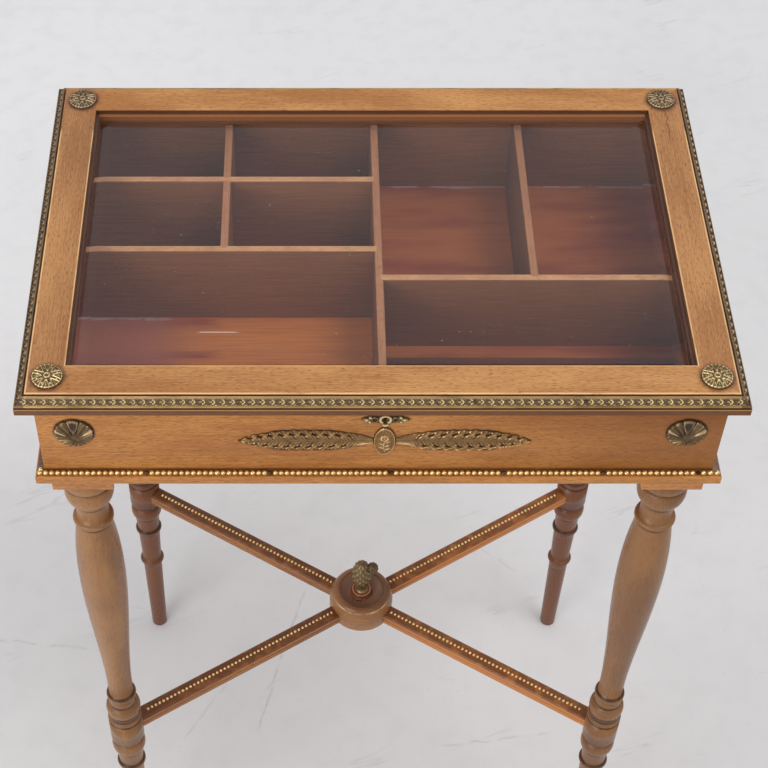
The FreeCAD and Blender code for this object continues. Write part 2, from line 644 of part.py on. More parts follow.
def build_front_mounts():
    z = LID_Z - ORNAMENT_DROP
    for side, way in (("left", -1), ("right", 1)):
        shell = dome(SHELL_RADIUS, SHELL_HEIGHT, MOUNT_RIM)
        parts["shell_mount_" + side] = facing_front(shell, way * LEG_X, LID_Z - SHELL_DROP)
        parts["laurel_spray_" + side] = facing_front(laurel_leaf(way).cut(medallion()), ORNAMENT_X, z)
    parts["centre_medallion"] = facing_front(medallion(), ORNAMENT_X, z)
    parts["keyhole_escutcheon"] = escutcheon()


# ---- legs ---------------------------------------------------------------------------
def turned_leg():
    """Tapered foot, two rings, torus, drum for the stretcher, collar, baluster and bulb."""
    under, over, top = STRETCHER_UNDER, STRETCHER_TOP, LEG_TOP
    drum_z0, drum_z1 = under - LEG_DRUM_BELOW, over + LEG_DRUM_ABOVE
    belly = top - BELLY_DROP
    waist = over + WAIST_RISE
    leg = Turning(FOOT_RADIUS - ARRIS, 0).line(FOOT_RADIUS, ARRIS)
    leg.ring(under - SHIN_RING_DROP, SHIN_RING_HEIGHT, SHIN_RING_RADIUS, SHIN_RADIUS)
    leg.ring(under - CALF_RING_DROP, SHIN_RING_HEIGHT, CALF_RING_RADIUS, CALF_RADIUS)
    leg.ring(under - TORUS_DROP, TORUS_HEIGHT, TORUS_RADIUS, LEG_DRUM_RADIUS - 2 * GROOVE)
    leg.line(LEG_DRUM_RADIUS - GROOVE, drum_z0).line(LEG_DRUM_RADIUS, drum_z0).line(LEG_DRUM_RADIUS, drum_z1)
    leg.line(LEG_DRUM_RADIUS - GROOVE, drum_z1).line(LEG_DRUM_RADIUS - GROOVE, drum_z1 + GROOVE_HEIGHT)
    leg.swell(LEG_DRUM_RADIUS, LEG_DRUM_RADIUS - GROOVE, drum_z1 + 4 * GROOVE_HEIGHT)
    leg.ring(over + COLLAR_RISE, COLLAR_HEIGHT, COLLAR_RADIUS, LEG_DRUM_RADIUS - 2 * GROOVE)
    leg.ring(over + KNEE_RING_RISE, KNEE_RING_HEIGHT, KNEE_RING_RADIUS, KNEE_RADIUS)
    leg.curve([(KNEE_RADIUS, waist), (THIGH_RADIUS, (waist + belly) / 2), (BELLY_RADIUS, belly),
               (THROAT_RADIUS, top - THROAT_RING_DROP - THROAT_RING_HEIGHT)])
    leg.ring(top - THROAT_RING_DROP, THROAT_RING_HEIGHT, THROAT_RING_RADIUS, THROAT_RADIUS)
    leg.line(NECK_RADIUS, top - THROAT_RING_DROP + THROAT_RING_HEIGHT / 2)
    leg.line(NECK_RADIUS, top - BULB_DROP - BULB_HEIGHT / 2)
    leg.swell(BULB_RADIUS, CAP_EDGE, top - BULB_DROP + BULB_HEIGHT / 2)
    leg.line(CAP_EDGE - GROOVE, top - BULB_DROP + BULB_HEIGHT / 2)
    leg.line(CAP_EDGE - GROOVE, top - CAP_DROP - CAP_HEIGHT / 2)
    leg.line(CAP_EDGE, top - CAP_DROP - CAP_HEIGHT / 2)
    leg.swell(CAP_RADIUS, CAP_EDGE, top - CAP_DROP + CAP_HEIGHT / 2).line(CAP_EDGE, top)
    return leg.solid()


# ---- stretcher ----------------------------------------------------------------------
def arm_way(sx, sy):
    """Direction from a leg's axis to the hub."""
    return V(-sx * LEG_X, -sy * LEG_Y, 0).normalize()


def arm_prism(sx, sy, section, begin, end):
    """Section of (offset, height) points run along an arm between two distances from the leg."""
    way = arm_way(sx, sy)
    across = V(-way.y, way.x, 0)
    start = V(sx * LEG_X, sy * LEG_Y, 0) + way * begin
    return prism([start + across * offset + Z_AXIS * z for offset, z in section], way * (end - begin))


def arm_section():
    """Square section with eased arrises and a fine groove along each side."""
    half, top, low = ARM_WIDTH / 2, STRETCHER_TOP, STRETCHER_UNDER
    groove = (top + low) / 2
    right = [(half - 2 * ARRIS, top), (half, top - 2 * ARRIS), (half, groove + ARM_GROOVE),
             (half - ARM_GROOVE, groove), (half, groove - ARM_GROOVE), (half, low + ARRIS),
             (half - ARRIS, low)]
    return right + [(-offset, z) for offset, z in reversed(right)]


def arm_tenon(sx, sy, begin, end):
    way = arm_way(sx, sy)
    foot = V(sx * LEG_X, sy * LEG_Y, (STRETCHER_TOP + STRETCHER_UNDER) / 2) + way * begin
    return Part.makeCylinder(ARM_TENON_RADIUS, end - begin, foot, way)


def turned_hub():
    """Round block that takes the arms, with a sloping shoulder, a dished top and a small boss."""
    dish = HUB_RIM - HUB_DISH_DEPTH
    dish_floor = HUB_BOSS_RADIUS + 4 * ARRIS
    hub = Turning(HUB_RADIUS - HUB_ROUND, HUB_UNDER)
    hub.swell(HUB_RADIUS - HUB_ROUND / 4, HUB_RADIUS, HUB_UNDER + HUB_ROUND)
    hub.line(HUB_RADIUS, STRETCHER_TOP + HUB_WALL_RISE)
    hub.swell((HUB_RADIUS + HUB_RIM_RADIUS) / 2 + ARRIS, HUB_RIM_RADIUS, HUB_RIM - 2 * ARRIS)
    hub.line(HUB_RIM_RADIUS - 2 * ARRIS, HUB_RIM).line(HUB_DISH_RADIUS, HUB_RIM)
    hub.swell((HUB_DISH_RADIUS + dish_floor) / 2 + ARRIS, dish_floor, dish)
    hub.ring(dish + HUB_DISH_DEPTH / 4, HUB_DISH_DEPTH / 2, HUB_BOSS_RADIUS, HUB_BOSS_RADIUS - 2 * ARRIS)
    hub.swell(HUB_BOSS_RADIUS - ARRIS, FINIAL_FOOT_RADIUS + ARRIS, HUB_RIM)
    return hub.solid()


def finial():
    """Round bud with a smaller lobe on its right, on a short waisted foot."""
    foot, tip = HUB_RIM + FINIAL_FOOT_HEIGHT, HUB_RIM + FINIAL_HEIGHT
    bud = tip - foot
    turning = Turning(FINIAL_FOOT_RADIUS, HUB_RIM).line(FINIAL_FOOT_RADIUS, HUB_RIM + 2 * ARRIS)
    turning.swell(FINIAL_FOOT_RADIUS - 2 * ARRIS, FINIAL_FOOT_RADIUS - ARRIS, foot)
    turning.curve([(0.86 * FINIAL_RADIUS, foot + 0.23 * bud), (FINIAL_RADIUS, foot + 0.50 * bud),
                   (0.86 * FINIAL_RADIUS, foot + 0.80 * bud), (FINIAL_TIP_RADIUS, tip)])
    lobe = Part.makeSphere(FINIAL_LOBE_RADIUS, V(FINIAL_LOBE_OUT, 0, tip - FINIAL_LOBE_DROP))
    return turning.solid().fuse(lobe).removeSplitter()


def build_stand():
    leg_blank, hub = turned_leg(), turned_hub()
    hub_space = Part.makeCylinder(HUB_RADIUS, HUB_RIM, V(0, 0, 0))
    leg_face, hub_face = LEG_DRUM_RADIUS, LEG_TO_HUB - HUB_RADIUS
    beads = half_round(0.0, STRETCHER_TOP, ARM_BEAD_RADIUS)
    strips = []
    for name, (sx, sy) in CORNERS.items():
        at_leg = V(sx * LEG_X, sy * LEG_Y, 0)
        tenon = leg_tenon(sx, sy)
        pad = block_at(at_leg.x, at_leg.y, PAD_SIZE, PAD_SIZE, LEG_TOP, CASE_Z)
        parts["leg_pad_" + name] = cut_all(pad, [tenon] + pad_screws(sx, sy))
        leg_end = arm_tenon(sx, sy, leg_face - ARM_TENON_LENGTH, leg_face + ARM_TENON_LENGTH)
        hub_end = arm_tenon(sx, sy, hub_face - ARM_TENON_LENGTH, hub_face + ARM_TENON_LENGTH)
        leg = leg_blank.copy()
        leg.translate(at_leg)
        parts["leg_" + name] = leg.fuse(tenon).removeSplitter().cut(leg_end)
        arm = arm_prism(sx, sy, arm_section(), 0, LEG_TO_HUB).cut(hub_space)
        arm = arm.cut(Part.makeCylinder(LEG_DRUM_RADIUS, HUB_RIM, at_leg))
        parts["stretcher_arm_" + name] = arm.fuse([leg_end, hub_end]).removeSplitter()
        hub = hub.cut(hub_end)
        strips.append(arm_prism(sx, sy, beads, leg_face + ARM_BEAD_LEG_GAP, hub_face - ARM_BEAD_HUB_GAP))
    parts["stretcher_bead_strips"] = group(strips)
    stud_end = HUB_RIM + STUD_IN_FINIAL
    nut_z = HUB_UNDER - NUT_HEIGHT
    stud = Part.makeCylinder(STUD_RADIUS, stud_end - nut_z, V(0, 0, nut_z))
    corners = [V(NUT_RADIUS * math.cos(math.pi * i / 3), NUT_RADIUS * math.sin(math.pi * i / 3), nut_z)
               for i in range(6)]
    parts["stretcher_hub"] = hub.cut(stud)
    parts["finial"] = finial().cut(stud)
    parts["finial_stud"] = stud.fuse(prism(corners, Z_AXIS * NUT_HEIGHT)).removeSplitter()


# ---- build --------------------------------------------------------------------------
build_dividers()
build_case()
build_base()
build_lock()
build_hinges()
build_lid()
build_front_mounts()
build_stand()

os.makedirs("parts", exist_ok=True)
for name, shape in parts.items():
    shape.exportStep("parts/" + name + ".step")
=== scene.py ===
import math

import bmesh
import bpy
import numpy as np
from mathutils import Matrix, Vector


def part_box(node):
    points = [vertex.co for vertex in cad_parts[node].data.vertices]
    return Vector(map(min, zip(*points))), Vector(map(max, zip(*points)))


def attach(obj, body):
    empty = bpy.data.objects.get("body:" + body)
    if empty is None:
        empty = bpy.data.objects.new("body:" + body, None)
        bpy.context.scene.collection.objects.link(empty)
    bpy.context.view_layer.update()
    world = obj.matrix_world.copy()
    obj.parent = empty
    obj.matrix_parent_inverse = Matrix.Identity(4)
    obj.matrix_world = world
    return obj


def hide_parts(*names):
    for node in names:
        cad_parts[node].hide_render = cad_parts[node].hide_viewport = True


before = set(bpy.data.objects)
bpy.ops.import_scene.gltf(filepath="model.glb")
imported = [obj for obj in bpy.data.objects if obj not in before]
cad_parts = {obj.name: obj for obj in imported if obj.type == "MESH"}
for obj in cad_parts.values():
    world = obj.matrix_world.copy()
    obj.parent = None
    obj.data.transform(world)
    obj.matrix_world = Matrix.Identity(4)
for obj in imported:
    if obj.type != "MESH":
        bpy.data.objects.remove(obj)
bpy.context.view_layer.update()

# A collectors display table: glazed lid, shallow case, four turned legs and a crossed stretcher.
# Metres, +Z up, front towards -Y.  Cast mounts are drawn in millimetres and placed with MM.
MM = 0.001
SIDES = ("front", "right", "back", "left")
LONG_SIDES = ("front", "back")
CORNERS = {"front_left": (-1, -1), "front_right": (1, -1), "back_left": (-1, 1), "back_right": (1, 1)}
GRAIN_X = (0.0, 0.0, 0.0)
GRAIN_Y = (0.0, 0.0, math.radians(90))
GRAIN_Z = (0.0, math.radians(90), 0.0)


def low(node):
    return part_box(node)[0]


def high(node):
    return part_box(node)[1]


def middle(node):
    return (low(node) + high(node)) / 2


# Heights and half sizes of the frame.
LID_TOP, LID_UNDER = high("lid_front_rail").z, low("lid_front_rail").z
LID_HALF = (high("lid_right_stile").x, high("lid_back_rail").y)
CASE_HALF = (high("case_right_panel").x, high("case_back_panel").y)
WALL_IN = (low("case_right_panel").x, low("case_back_panel").y)
STRIP_Z = high("base_moulding_front").z + 0.0008
STRIP_HALF = (high("base_bead_strips").x - 0.0026, high("base_bead_strips").y - 0.0026)
DIVIDER_TOP = high("divider_centre").z
GLASS_TOP = high("lid_glass").z
STRETCHER_TOP = high("stretcher_arm_front_left").z
HUB_RIM = low("finial").z
ORNAMENT_X, ORNAMENT_Z = middle("centre_medallion").x, middle("centre_medallion").z
LAUREL_ROOT = 0.0083        # from the medallion's middle to the root of a spray
KEYHOLE_Z = middle("keyhole_escutcheon").z
SHELL_SPOT = (middle("shell_mount_right").x, middle("shell_mount_right").z)
ROSETTE_SPOT = (middle("rosette_back_right").x, middle("rosette_back_right").y)
ARM_ANGLE = math.atan2(middle("leg_back_right").y, middle("leg_back_right").x)
# The lid band's bed on a cross section: (distance in from the lid's edge, height) of its two ends.
BAND_START = (0.0016, low("lid_band_front").z)
BAND_END = (0.0075, LID_TOP - 0.0020)
OPENING = BAND_END[0] + 0.0272      # from the lid's edge in to the opening for the pane
BAND_WIDTH = math.dist(BAND_START, BAND_END)
BAND_RUN = (BAND_END[0] - BAND_START[0]) / BAND_WIDTH
BAND_RISE = (BAND_END[1] - BAND_START[1]) / BAND_WIDTH


# ---- sockets and nodes --------------------------------------------------------------
def tint(red, green, blue):
    """Linear colour of a display colour given as 0 to 255."""
    def linear(value):
        value /= 255
        return value / 12.92 if value <= 0.04045 else ((value + 0.055) / 1.055) ** 2.4
    return linear(red), linear(green), linear(blue), 1.0


class Field:
    """An output socket; arithmetic on it adds Math nodes."""

    def __init__(self, tree, socket):
        self.tree, self.socket = tree, socket

    def math(self, operation, *values):
        return self.tree.node("ShaderNodeMath", {"operation": operation}, dict(enumerate(values)))

    def __add__(self, other):
        return self.math("ADD", self, other)

    def __sub__(self, other):
        return self.math("SUBTRACT", self, other)

    def __rsub__(self, other):
        return self.math("SUBTRACT", other, self)

    def __mul__(self, other):
        return self.math("MULTIPLY", self, other)

    def __truediv__(self, other):
        return self.math("DIVIDE", self, other)

    def __gt__(self, other):
        return self.math("GREATER_THAN", self, other)

    def __lt__(self, other):
        return self.math("LESS_THAN", self, other)

    __radd__ = __add__
    __rmul__ = __mul__

    def size(self):
        return self.math("ABSOLUTE", self)

    def most(self, other):
        return self.math("MAXIMUM", self, other)

    def least(self, other):
        return self.math("MINIMUM", self, other)

    def step(self, start, end):
        """0 before start, 1 past end, and a soft step between; start may be above end."""
        return self.tree.node("ShaderNodeMapRange", {"interpolation_type": "SMOOTHSTEP"},
                              {"Value": self, "From Min": start, "From Max": end}, "Result")

    def window(self, start, full, last, end):
        """1 between full and last, with a soft step up from start and down to end."""
        return self.step(start, full) * self.step(end, last)

    def near(self, value, reach, core):
        """1 within core of a value, 0 past reach of it."""
        return (self - value).size().step(reach, core)


class Tree:
    """Adds nodes to a node tree."""

    def node(self, kind, settings=None, inputs=None, output=0):
        """Add a node; its settings are set first, then the values or links of its sockets."""
        made = self.nodes.new(kind)
        for key, value in (settings or {}).items():
            setattr(made, key, value)
        for key, value in (inputs or {}).items():
            if isinstance(value, Field):
                self.links.new(value.socket, made.inputs[key])
            else:
                made.inputs[key].default_value = value
        return Field(self, made.outputs[output])

    def ray(self, kind):
        """1 where light or sight comes along a ray of a kind, such as Camera or Shadow."""
        return self.node("ShaderNodeLightPath", output="Is %s Ray" % kind)


class Finish(Tree):
    """A procedural material on object coordinates.  Tones are display colours given as 0 to 255, and
    paint() lays one over the colour so far."""

    def __init__(self, name):
        self.material = bpy.data.materials.new(name)
        self.material.use_nodes = True
        self.nodes, self.links = self.material.node_tree.nodes, self.material.node_tree.links
        self.nodes.clear()
        self.place = self.node("ShaderNodeTexCoord", output="Object")
        self.x, self.y, self.z = (self.node("ShaderNodeSeparateXYZ", {}, {0: self.place}, axis)
                                  for axis in ("X", "Y", "Z"))
        self.colour = None

    def attribute(self, name):
        return self.node("ShaderNodeAttribute", {"attribute_name": name}, output="Fac")

    def mix(self, share, start, end):
        start, end = (tone if isinstance(tone, Field) else tint(*tone) for tone in (start, end))
        return self.node("ShaderNodeMix", {"data_type": "RGBA"}, {0: share, 6: start, 7: end}, 2)

    def paint(self, share, tone):
        self.colour = self.mix(share, self.colour, tone)

    def noise(self, size, detail=2.0, turn=GRAIN_X, shift=(0.0, 0.0, 0.0)):
        """Cloudy values round 0.5; size is the length of a cloud in metres, one number or three."""
        scale = size if isinstance(size, tuple) else (size, size, size)
        spot = self.node("ShaderNodeMapping", {"vector_type": "TEXTURE"},
                         {"Vector": self.place, "Location": shift, "Rotation": turn, "Scale": scale})
        return self.node("ShaderNodeTexNoise", {}, {"Vector": spot, "Scale": 1.0, "Detail": detail})

    def streaks(self, length, width, turn=GRAIN_X, detail=2.0):
        return self.noise((length, width, width), detail, turn)

    def distance(self, x, y):
        """Distance on plan from a point that is repeated in all four quarters of the table."""
        square = square_sum(self.x.size() - x, self.y.size() - y)
        return square.math("SQRT", square)

    def lid_inset(self):
        """Distance in from the nearest edge of the lid."""
        return (LID_HALF[0] - self.x.size()).least(LID_HALF[1] - self.y.size())

    def shader(self, colour, roughness, metallic=0.0, height=None, depth=0.0002, **constants):
        inputs = {"Base Color": colour, "Roughness": roughness, "Metallic": metallic}
        inputs.update({key.replace("_", " "): value for key, value in constants.items()})
        if height is not None:
            inputs["Normal"] = self.node("ShaderNodeBump", {}, {"Height": height, "Distance": depth})
        return self.node("ShaderNodeBsdfPrincipled", {}, inputs)

    def done(self, surface):
        end = self.nodes.new("ShaderNodeOutputMaterial")
        self.links.new(surface.socket, end.inputs["Surface"])
        return self.material


def square_sum(across, up):
    return across * across + up * up


# ---- finishes -----------------------------------------------------------------------
def wood(name, pale, deep, fleck, turn, roughness=0.42, marks=None, worn=(226, 180, 126), rub=0.6,
         fleck_share=0.62, cloud=0.034, stroke=0.34):
    """Varnished wood: soft clouds, fine grain lines, short strokes and dark flecks along the grain,
    worn where an arris is rubbed.  marks(finish) paints what belongs to one place."""
    finish = Finish(name)
    clouds = finish.streaks(3.2 * cloud, cloud, turn, 3.0)
    lines = finish.streaks(0.034, 0.0011, turn, 3.0)
    strokes = finish.streaks(0.0085, 0.0011, turn)
    pores = finish.streaks(0.0050, 0.0008, turn, 1.0)
    share = clouds * (0.82 - stroke) + lines * (stroke - 0.08) + strokes * 0.26
    finish.colour = finish.mix(share.step(0.37, 0.63), deep, pale)
    flecks = (pores * 0.7 + strokes * 0.3).step(0.53, 0.66)
    finish.paint(flecks * fleck_share, fleck)
    if marks:
        marks(finish)
    rubbed = finish.attribute("arris") * finish.noise(0.02, 3.0).step(0.25, 0.58)
    finish.paint(rubbed * rub, worn)
    gloss = roughness + (clouds - 0.5) * 0.25 + flecks * 0.08
    surface = finish.shader(finish.colour, gloss, 0.0, lines * 0.5 - flecks, 0.00006, Specular_IOR_Level=0.35)
    return finish.done(surface)


def lid_marks(finish):
    """Dark halo round each corner rosette, partly grime and partly painted shade; painted shade in the seams
    beside the band, a dull fillet below it with a painted highlight along its top edge, painted shade along
    the lid's lower edge and on the inner faces of the opening, light rubbed arrises and a crack."""
    x, y, inset = finish.x, finish.y, finish.lid_inset()
    over, under = finish.z - BAND_START[1], LID_TOP - finish.z
    # Halo round each rosette: partly grime, partly painted shade.
    halo = finish.distance(*ROSETTE_SPOT) + finish.noise(0.004, 3.0) * 0.006
    finish.paint(halo.step(0.0185, 0.0140) * 0.72, (98, 62, 52))
    outer = inset.step(0.0026, 0.0012)
    fillet = over.step(-0.0002, -0.0008) * outer
    finish.paint(fillet * 0.85, (84, 44, 14))
    # Painted highlight along the fillet's top edge.
    finish.paint(over.window(-0.0016, -0.0012, -0.0007, -0.0004) * outer * 0.8, (190, 142, 90))
    # Painted shade along the lid's lower edge.
    finish.paint((finish.z - LID_UNDER).step(0.0011, 0.0005) * outer * 0.7, (70, 42, 30))
    # Painted shade in the seams at the band's lower edge and beside its upper edge.
    seat = over.step(0.0006, 0.0003) * (outer - fillet)
    flat = inset - BAND_END[0]
    groove = flat.window(-0.0007, -0.0003, 0.0002, 0.0005) * under.step(0.0005, 0.0008)
    finish.paint(seat.most(groove) * 0.9, (54, 32, 18))
    # Painted shade on the inner faces of the opening, lighter deep on the stiles.
    opening = (OPENING - inset).step(0.0002, 0.0001) * under.step(0.0003, 0.0010)
    deep = under.step(0.0010, 0.0020) * (y.size() < LID_HALF[1] - OPENING - 0.0018)
    finish.paint(opening * 0.88, finish.mix(deep, (66, 40, 27), (100, 68, 54)))
    rubbed = (OPENING - inset).step(0.0013, 0.0005).most(flat.window(0.0003, 0.0006, 0.0009, 0.0018))
    rubbed = rubbed * under.step(0.0006, 0.0003) * finish.noise(0.03, 3.0).step(0.15, 0.50)
    finish.paint(rubbed * y.step(0.118, 0.108) * 0.8, (246, 202, 148))
    wander = (finish.noise(0.012) - 0.5) * 0.010
    crack = (x + wander).near(0.2400, 0.0006, 0.0001) * y.window(0.100, 0.112, 0.136, 0.142)
    finish.paint(crack * 0.8, (72, 42, 28))


def inside_tone(finish):
    """Brown with fine lines, as the case's inner faces and the dividers' sides are."""
    lines = finish.streaks(0.035, 0.0008).step(0.34, 0.66)
    return finish.mix(lines, (129, 80, 52), (148, 93, 59))


def case_marks(finish):
    """Brown inner faces; painted shade under the lid, behind the mounts and towards the right end; dirt and
    painted shade above the bead strip.
    """
    x, y, z = finish.x, finish.y, finish.z
    inner = (x.size() < WALL_IN[0] + 0.0012) * (y.size() < WALL_IN[1] + 0.0012)
    # Painted shade: the case darkens towards its right end.
    finish.paint(x.step(0.03, 0.24) * 0.62, (122, 68, 26))
    finish.paint(inner * 0.93, inside_tone(finish))
    # Painted shade on the apron just under the lid; dirt and painted shade just above the bead strip.
    shade = (LID_UNDER - z).step(0.0052, 0.0008)
    dirt_and_shade = (z - STRIP_Z).step(0.0034, 0.0020)
    grime = finish.noise(0.012, 3.0).step(0.20, 0.55)
    finish.paint(shade.most(dirt_and_shade * (0.4 + grime * 0.6)) * (1 - inner) * 0.75, (84, 50, 30))
    # Painted shade on the wood round and behind the sprays, the shells and the escutcheon.
    out = (x - ORNAMENT_X).size() - LAUREL_ROOT
    limit = out.step(-0.010, 0.034) * out.step(0.1005, 0.0660) * 0.0116
    spray = ((z - ORNAMENT_Z).size() - limit).step(0.0012, -0.0002) * (out < 0.099)
    shell = square_sum((x.size() - SHELL_SPOT[0]) / 0.0146, (z - SHELL_SPOT[1]) / 0.0146).step(1.25, 0.96)
    keyhole = square_sum((x - ORNAMENT_X) / 0.0165, (z - KEYHOLE_Z) / 0.0046).step(1.5, 0.9)
    outside = (CASE_HALF[1] + y).step(0.001, 0.0002)
    finish.paint(spray.most(shell).most(keyhole) * outside * 0.85, (48, 30, 20))


def floor_marks(finish):
    """Red and orange patches, redder on the right, a painted reflection of the pane's grey haze in one corner
    and pale scuffs along the walls.
    """
    x, y = finish.x, finish.y
    patches = finish.noise((0.14, 0.030, 0.030), 3.0, GRAIN_X, (0.03, 0.012, 0.0))
    front = y.step(0.0, -0.012) * x.step(0.01, 0.0)
    plain = front * x.step(-0.140, -0.115)
    finish.paint(patches.step(0.34, 0.60).most(plain * 0.9), (222, 133, 62))
    finish.paint((x > 0.0) * 0.48, (146, 62, 44))
    finish.paint(finish.streaks(0.060, 0.0010).step(0.60, 0.40) * 0.22, (132, 66, 42))
    # Painted reflection of the pane's grey haze over the left end of the front left compartment.
    finish.paint(x.step(-0.125, -0.190) * front * 0.80, (176, 104, 92))
    wavy = y + (finish.noise(0.03, 3.0) - 0.5) * 0.004
    back_line = wavy.step(0.1455, 0.1470) * (x > 0.005)
    left_line = wavy.step(-0.0095, -0.0082) * x.step(-0.150, -0.175)
    scuffs = back_line.most(left_line) * finish.noise(0.012, 3.0).step(0.34, 0.56)
    finish.paint(scuffs * 0.55, (196, 176, 172))


def glazing_marks(finish):
    """The back bead catches the light; the others are in the shade of the frame."""
    back = (LID_HALF[1] - OPENING - finish.y).step(0.0053, 0.0038)
    finish.paint(back * (finish.x.size() < LID_HALF[0] - OPENING - 0.0023) * 0.7, (160, 102, 60))


def divider_marks(finish):
    """Brown sides, one of them darkened with painted shade; bare, pale top edges, scuffed, with painted shade
    at their back ends.
    """
    x, y = finish.x, finish.y
    # Painted shade on the rear part of the right cross divider.
    shaded_side = (x > 0.10) * (x < 0.1178) * (y > -0.0300) * 0.5
    sides = finish.mix(shaded_side, inside_tone(finish), (66, 44, 34))
    finish.paint(finish.noise(0.020, 3.0).step(0.45, 0.65) * 0.35, (176, 112, 84))
    # Painted shade on the dividers' back ends.
    finish.paint((WALL_IN[1] - y).step(0.0110, 0.0095) * 0.9, (84, 56, 44))
    finish.paint((finish.z - DIVIDER_TOP).step(0.0002, -0.0003) * 0.95, sides)


def leg_marks(finish):
    """Redder back legs; painted shade on the front right leg and round the rings; all are darker towards the
    foot, with dirt and painted shade in the coves.
    """
    x, y, z = finish.x, finish.y, finish.z
    finish.paint((y > 0.0) * 0.75, (106, 58, 38))
    # Painted shade on the front right leg.
    finish.paint((x > 0.0) * (y < 0.0) * 0.25, (104, 68, 42))
    finish.paint(z.step(0.30, 0.02) * 0.25, (104, 68, 48))
    # Painted shade round the narrow rings.
    for level in LEG_RINGS:
        finish.paint(z.near(level, 0.0050, 0.0030) * 0.35, (84, 50, 32))
    # Dirt and painted shade in the sharp coves.
    coves = z.near(LEG_COVES[0], 0.0021, 0.0006)
    for level in LEG_COVES[1:]:
        coves = coves.most(z.near(level, 0.0021, 0.0006))
    worn = finish.noise(0.010, 3.0).step(0.15, 0.55)
    finish.paint(coves * (0.45 + worn * 0.40), (52, 33, 24))


def arm_marks(finish):
    """Dark reddish top face; golden sides, with painted light on the arms to the right."""
    level = finish.z - STRETCHER_TOP
    # Painted light: the sides of the arms to the right are brighter.
    finish.paint(finish.x.step(-0.05, 0.08) * 0.55, (226, 144, 70))
    worn = finish.noise(0.010, 3.0).step(0.45, 0.65)
    finish.paint(level.step(-0.0021, -0.0011) * (0.74 - worn * 0.30), (84, 46, 28))
    finish.paint(level.window(-0.0071, -0.0064, -0.0064, -0.0057) * 0.6, (84, 50, 36))


def hub_marks(finish):
    """Dark shoulder with a painted highlight at its edge, grey-brown dish, copper-coloured rings by the foot.
    """
    radius, level = finish.distance(0.0, 0.0), finish.z - HUB_RIM
    above, shoulder = level > -0.0080, level.step(-0.0046, -0.0030)
    finish.paint(shoulder * (0.35 + finish.x.step(-0.01, 0.03) * 0.25), (92, 62, 44))
    # Painted highlight along the front of the shoulder's edge.
    line = radius.near(0.0284, 0.0011, 0.0004) * shoulder * finish.y.step(-0.006, -0.020)
    finish.paint(line * finish.noise(0.012).step(0.25, 0.60) * 0.8, (232, 196, 158))
    finish.paint(radius.step(0.0222, 0.0190) * above * 0.9, (134, 102, 84))
    finish.paint(radius.window(0.0200, 0.0212, 0.0216, 0.0232) * above * 0.5, (74, 50, 38))
    wave = radius * 2400
    bright = wave.math("SINE", wave).step(-0.2, 0.7)
    copper = finish.mix(bright, (100, 60, 40), (176, 116, 76))
    finish.paint(radius.step(0.0125, 0.0110) * above, copper)


def brass(name, bright, dull, recess, roughness, plain=False, luck=0.0):
    """Old brass: bright on ridges, dull on slopes and brown in hollows, by the tone on the mesh; on the cast
    pieces that tone holds wear and patina and also painted highlights and shade.
    """
    finish = Finish(name)
    cloud, grime = finish.noise(0.004, 3.0), finish.noise(0.0011)
    if plain:
        tone = 0.25 + cloud * 0.7
    else:
        tone = finish.attribute("tone") + (cloud - 0.5) * 0.4 + (grime - 0.5) * 0.25
    if luck:
        tone = tone - finish.attribute("luck") * luck
    finish.colour = finish.mix(tone.step(0.42, 0.86), dull, bright)
    dirty = tone.step(0.40, 0.10)
    finish.paint(dirty, recess)
    gloss = roughness + dirty * 0.35 + (grime - 0.5) * 0.2
    return finish.done(finish.shader(finish.colour, gloss, 0.90 - dirty * 0.70, grime, 0.00004))


def band_brass():
    """The band's plain ribs are worn, its bed between them is olive brown, and its sides are darkened with
    painted shade.
    """
    finish = Finish("band_brass_strip")
    grime, inset = finish.noise(0.0010, 3.0), finish.lid_inset()
    along = (inset - BAND_START[0]) * BAND_RUN + (finish.z - BAND_START[1]) * BAND_RISE
    lower, upper = along.step(0.0019, 0.0016), along.step(0.0062, 0.0066)
    rub = finish.noise((0.02, 0.02, 0.003), 3.0).step(0.25, 0.60)
    finish.colour = finish.mix(grime.step(0.38, 0.64), (72, 56, 36), (112, 90, 58))
    finish.paint(lower * (0.40 + rub * 0.50), (200, 164, 110))
    finish.paint(upper * (0.45 + rub * 0.55), (196, 164, 118))
    # Painted shade on the band's short sides.
    side = (finish.x.size() > LID_HALF[0] - 0.0076) * inset.step(0.0078, 0.0076)
    finish.paint(side * 0.60, (78, 60, 50))
    ribs = upper.most(lower)
    return finish.done(finish.shader(finish.colour, 0.60 - ribs * 0.22, 0.35 + ribs * 0.5, grime, 0.00006))


def steel(name, colour, dark, roughness=0.38):
    finish = Finish(name)
    cloud = finish.noise(0.006, 4.0)
    stain = finish.mix(cloud.step(0.40, 0.66), colour, dark)
    return finish.done(finish.shader(stain, roughness + (cloud - 0.5) * 0.4, 0.95, cloud, 0.00005))


def plate_glass():
    """Clear pane with a fine scratch and a little dust; light passes straight through it."""
    finish = Finish("plate_glass")
    clear = finish.shader((0.90, 0.91, 0.92, 1.0), 0.0, 0.0, Transmission_Weight=1.0, IOR=1.5)
    chalk = finish.shader((0.75, 0.74, 0.74, 1.0), 0.6)
    scratch = finish.y.near(-0.1007, 0.0006, 0.0001) * finish.x.window(-0.1355, -0.1290, -0.1080, -0.1015)
    specks = finish.noise(0.0022, 0.0).step(0.80, 0.85) * 0.20
    dusty = (scratch * 0.6).most(specks) * (finish.z > GLASS_TOP - 0.0001)
    marked = finish.node("ShaderNodeMixShader", {}, {0: dusty, 1: clear, 2: chalk})
    passing = finish.ray("Shadow").most(finish.ray("Diffuse"))
    open_way = finish.node("ShaderNodeBsdfTransparent", {}, {"Color": (0.93, 0.93, 0.93, 1.0)})
    return finish.done(finish.node("ShaderNodeMixShader", {}, {0: passing, 1: marked, 2: open_way}))


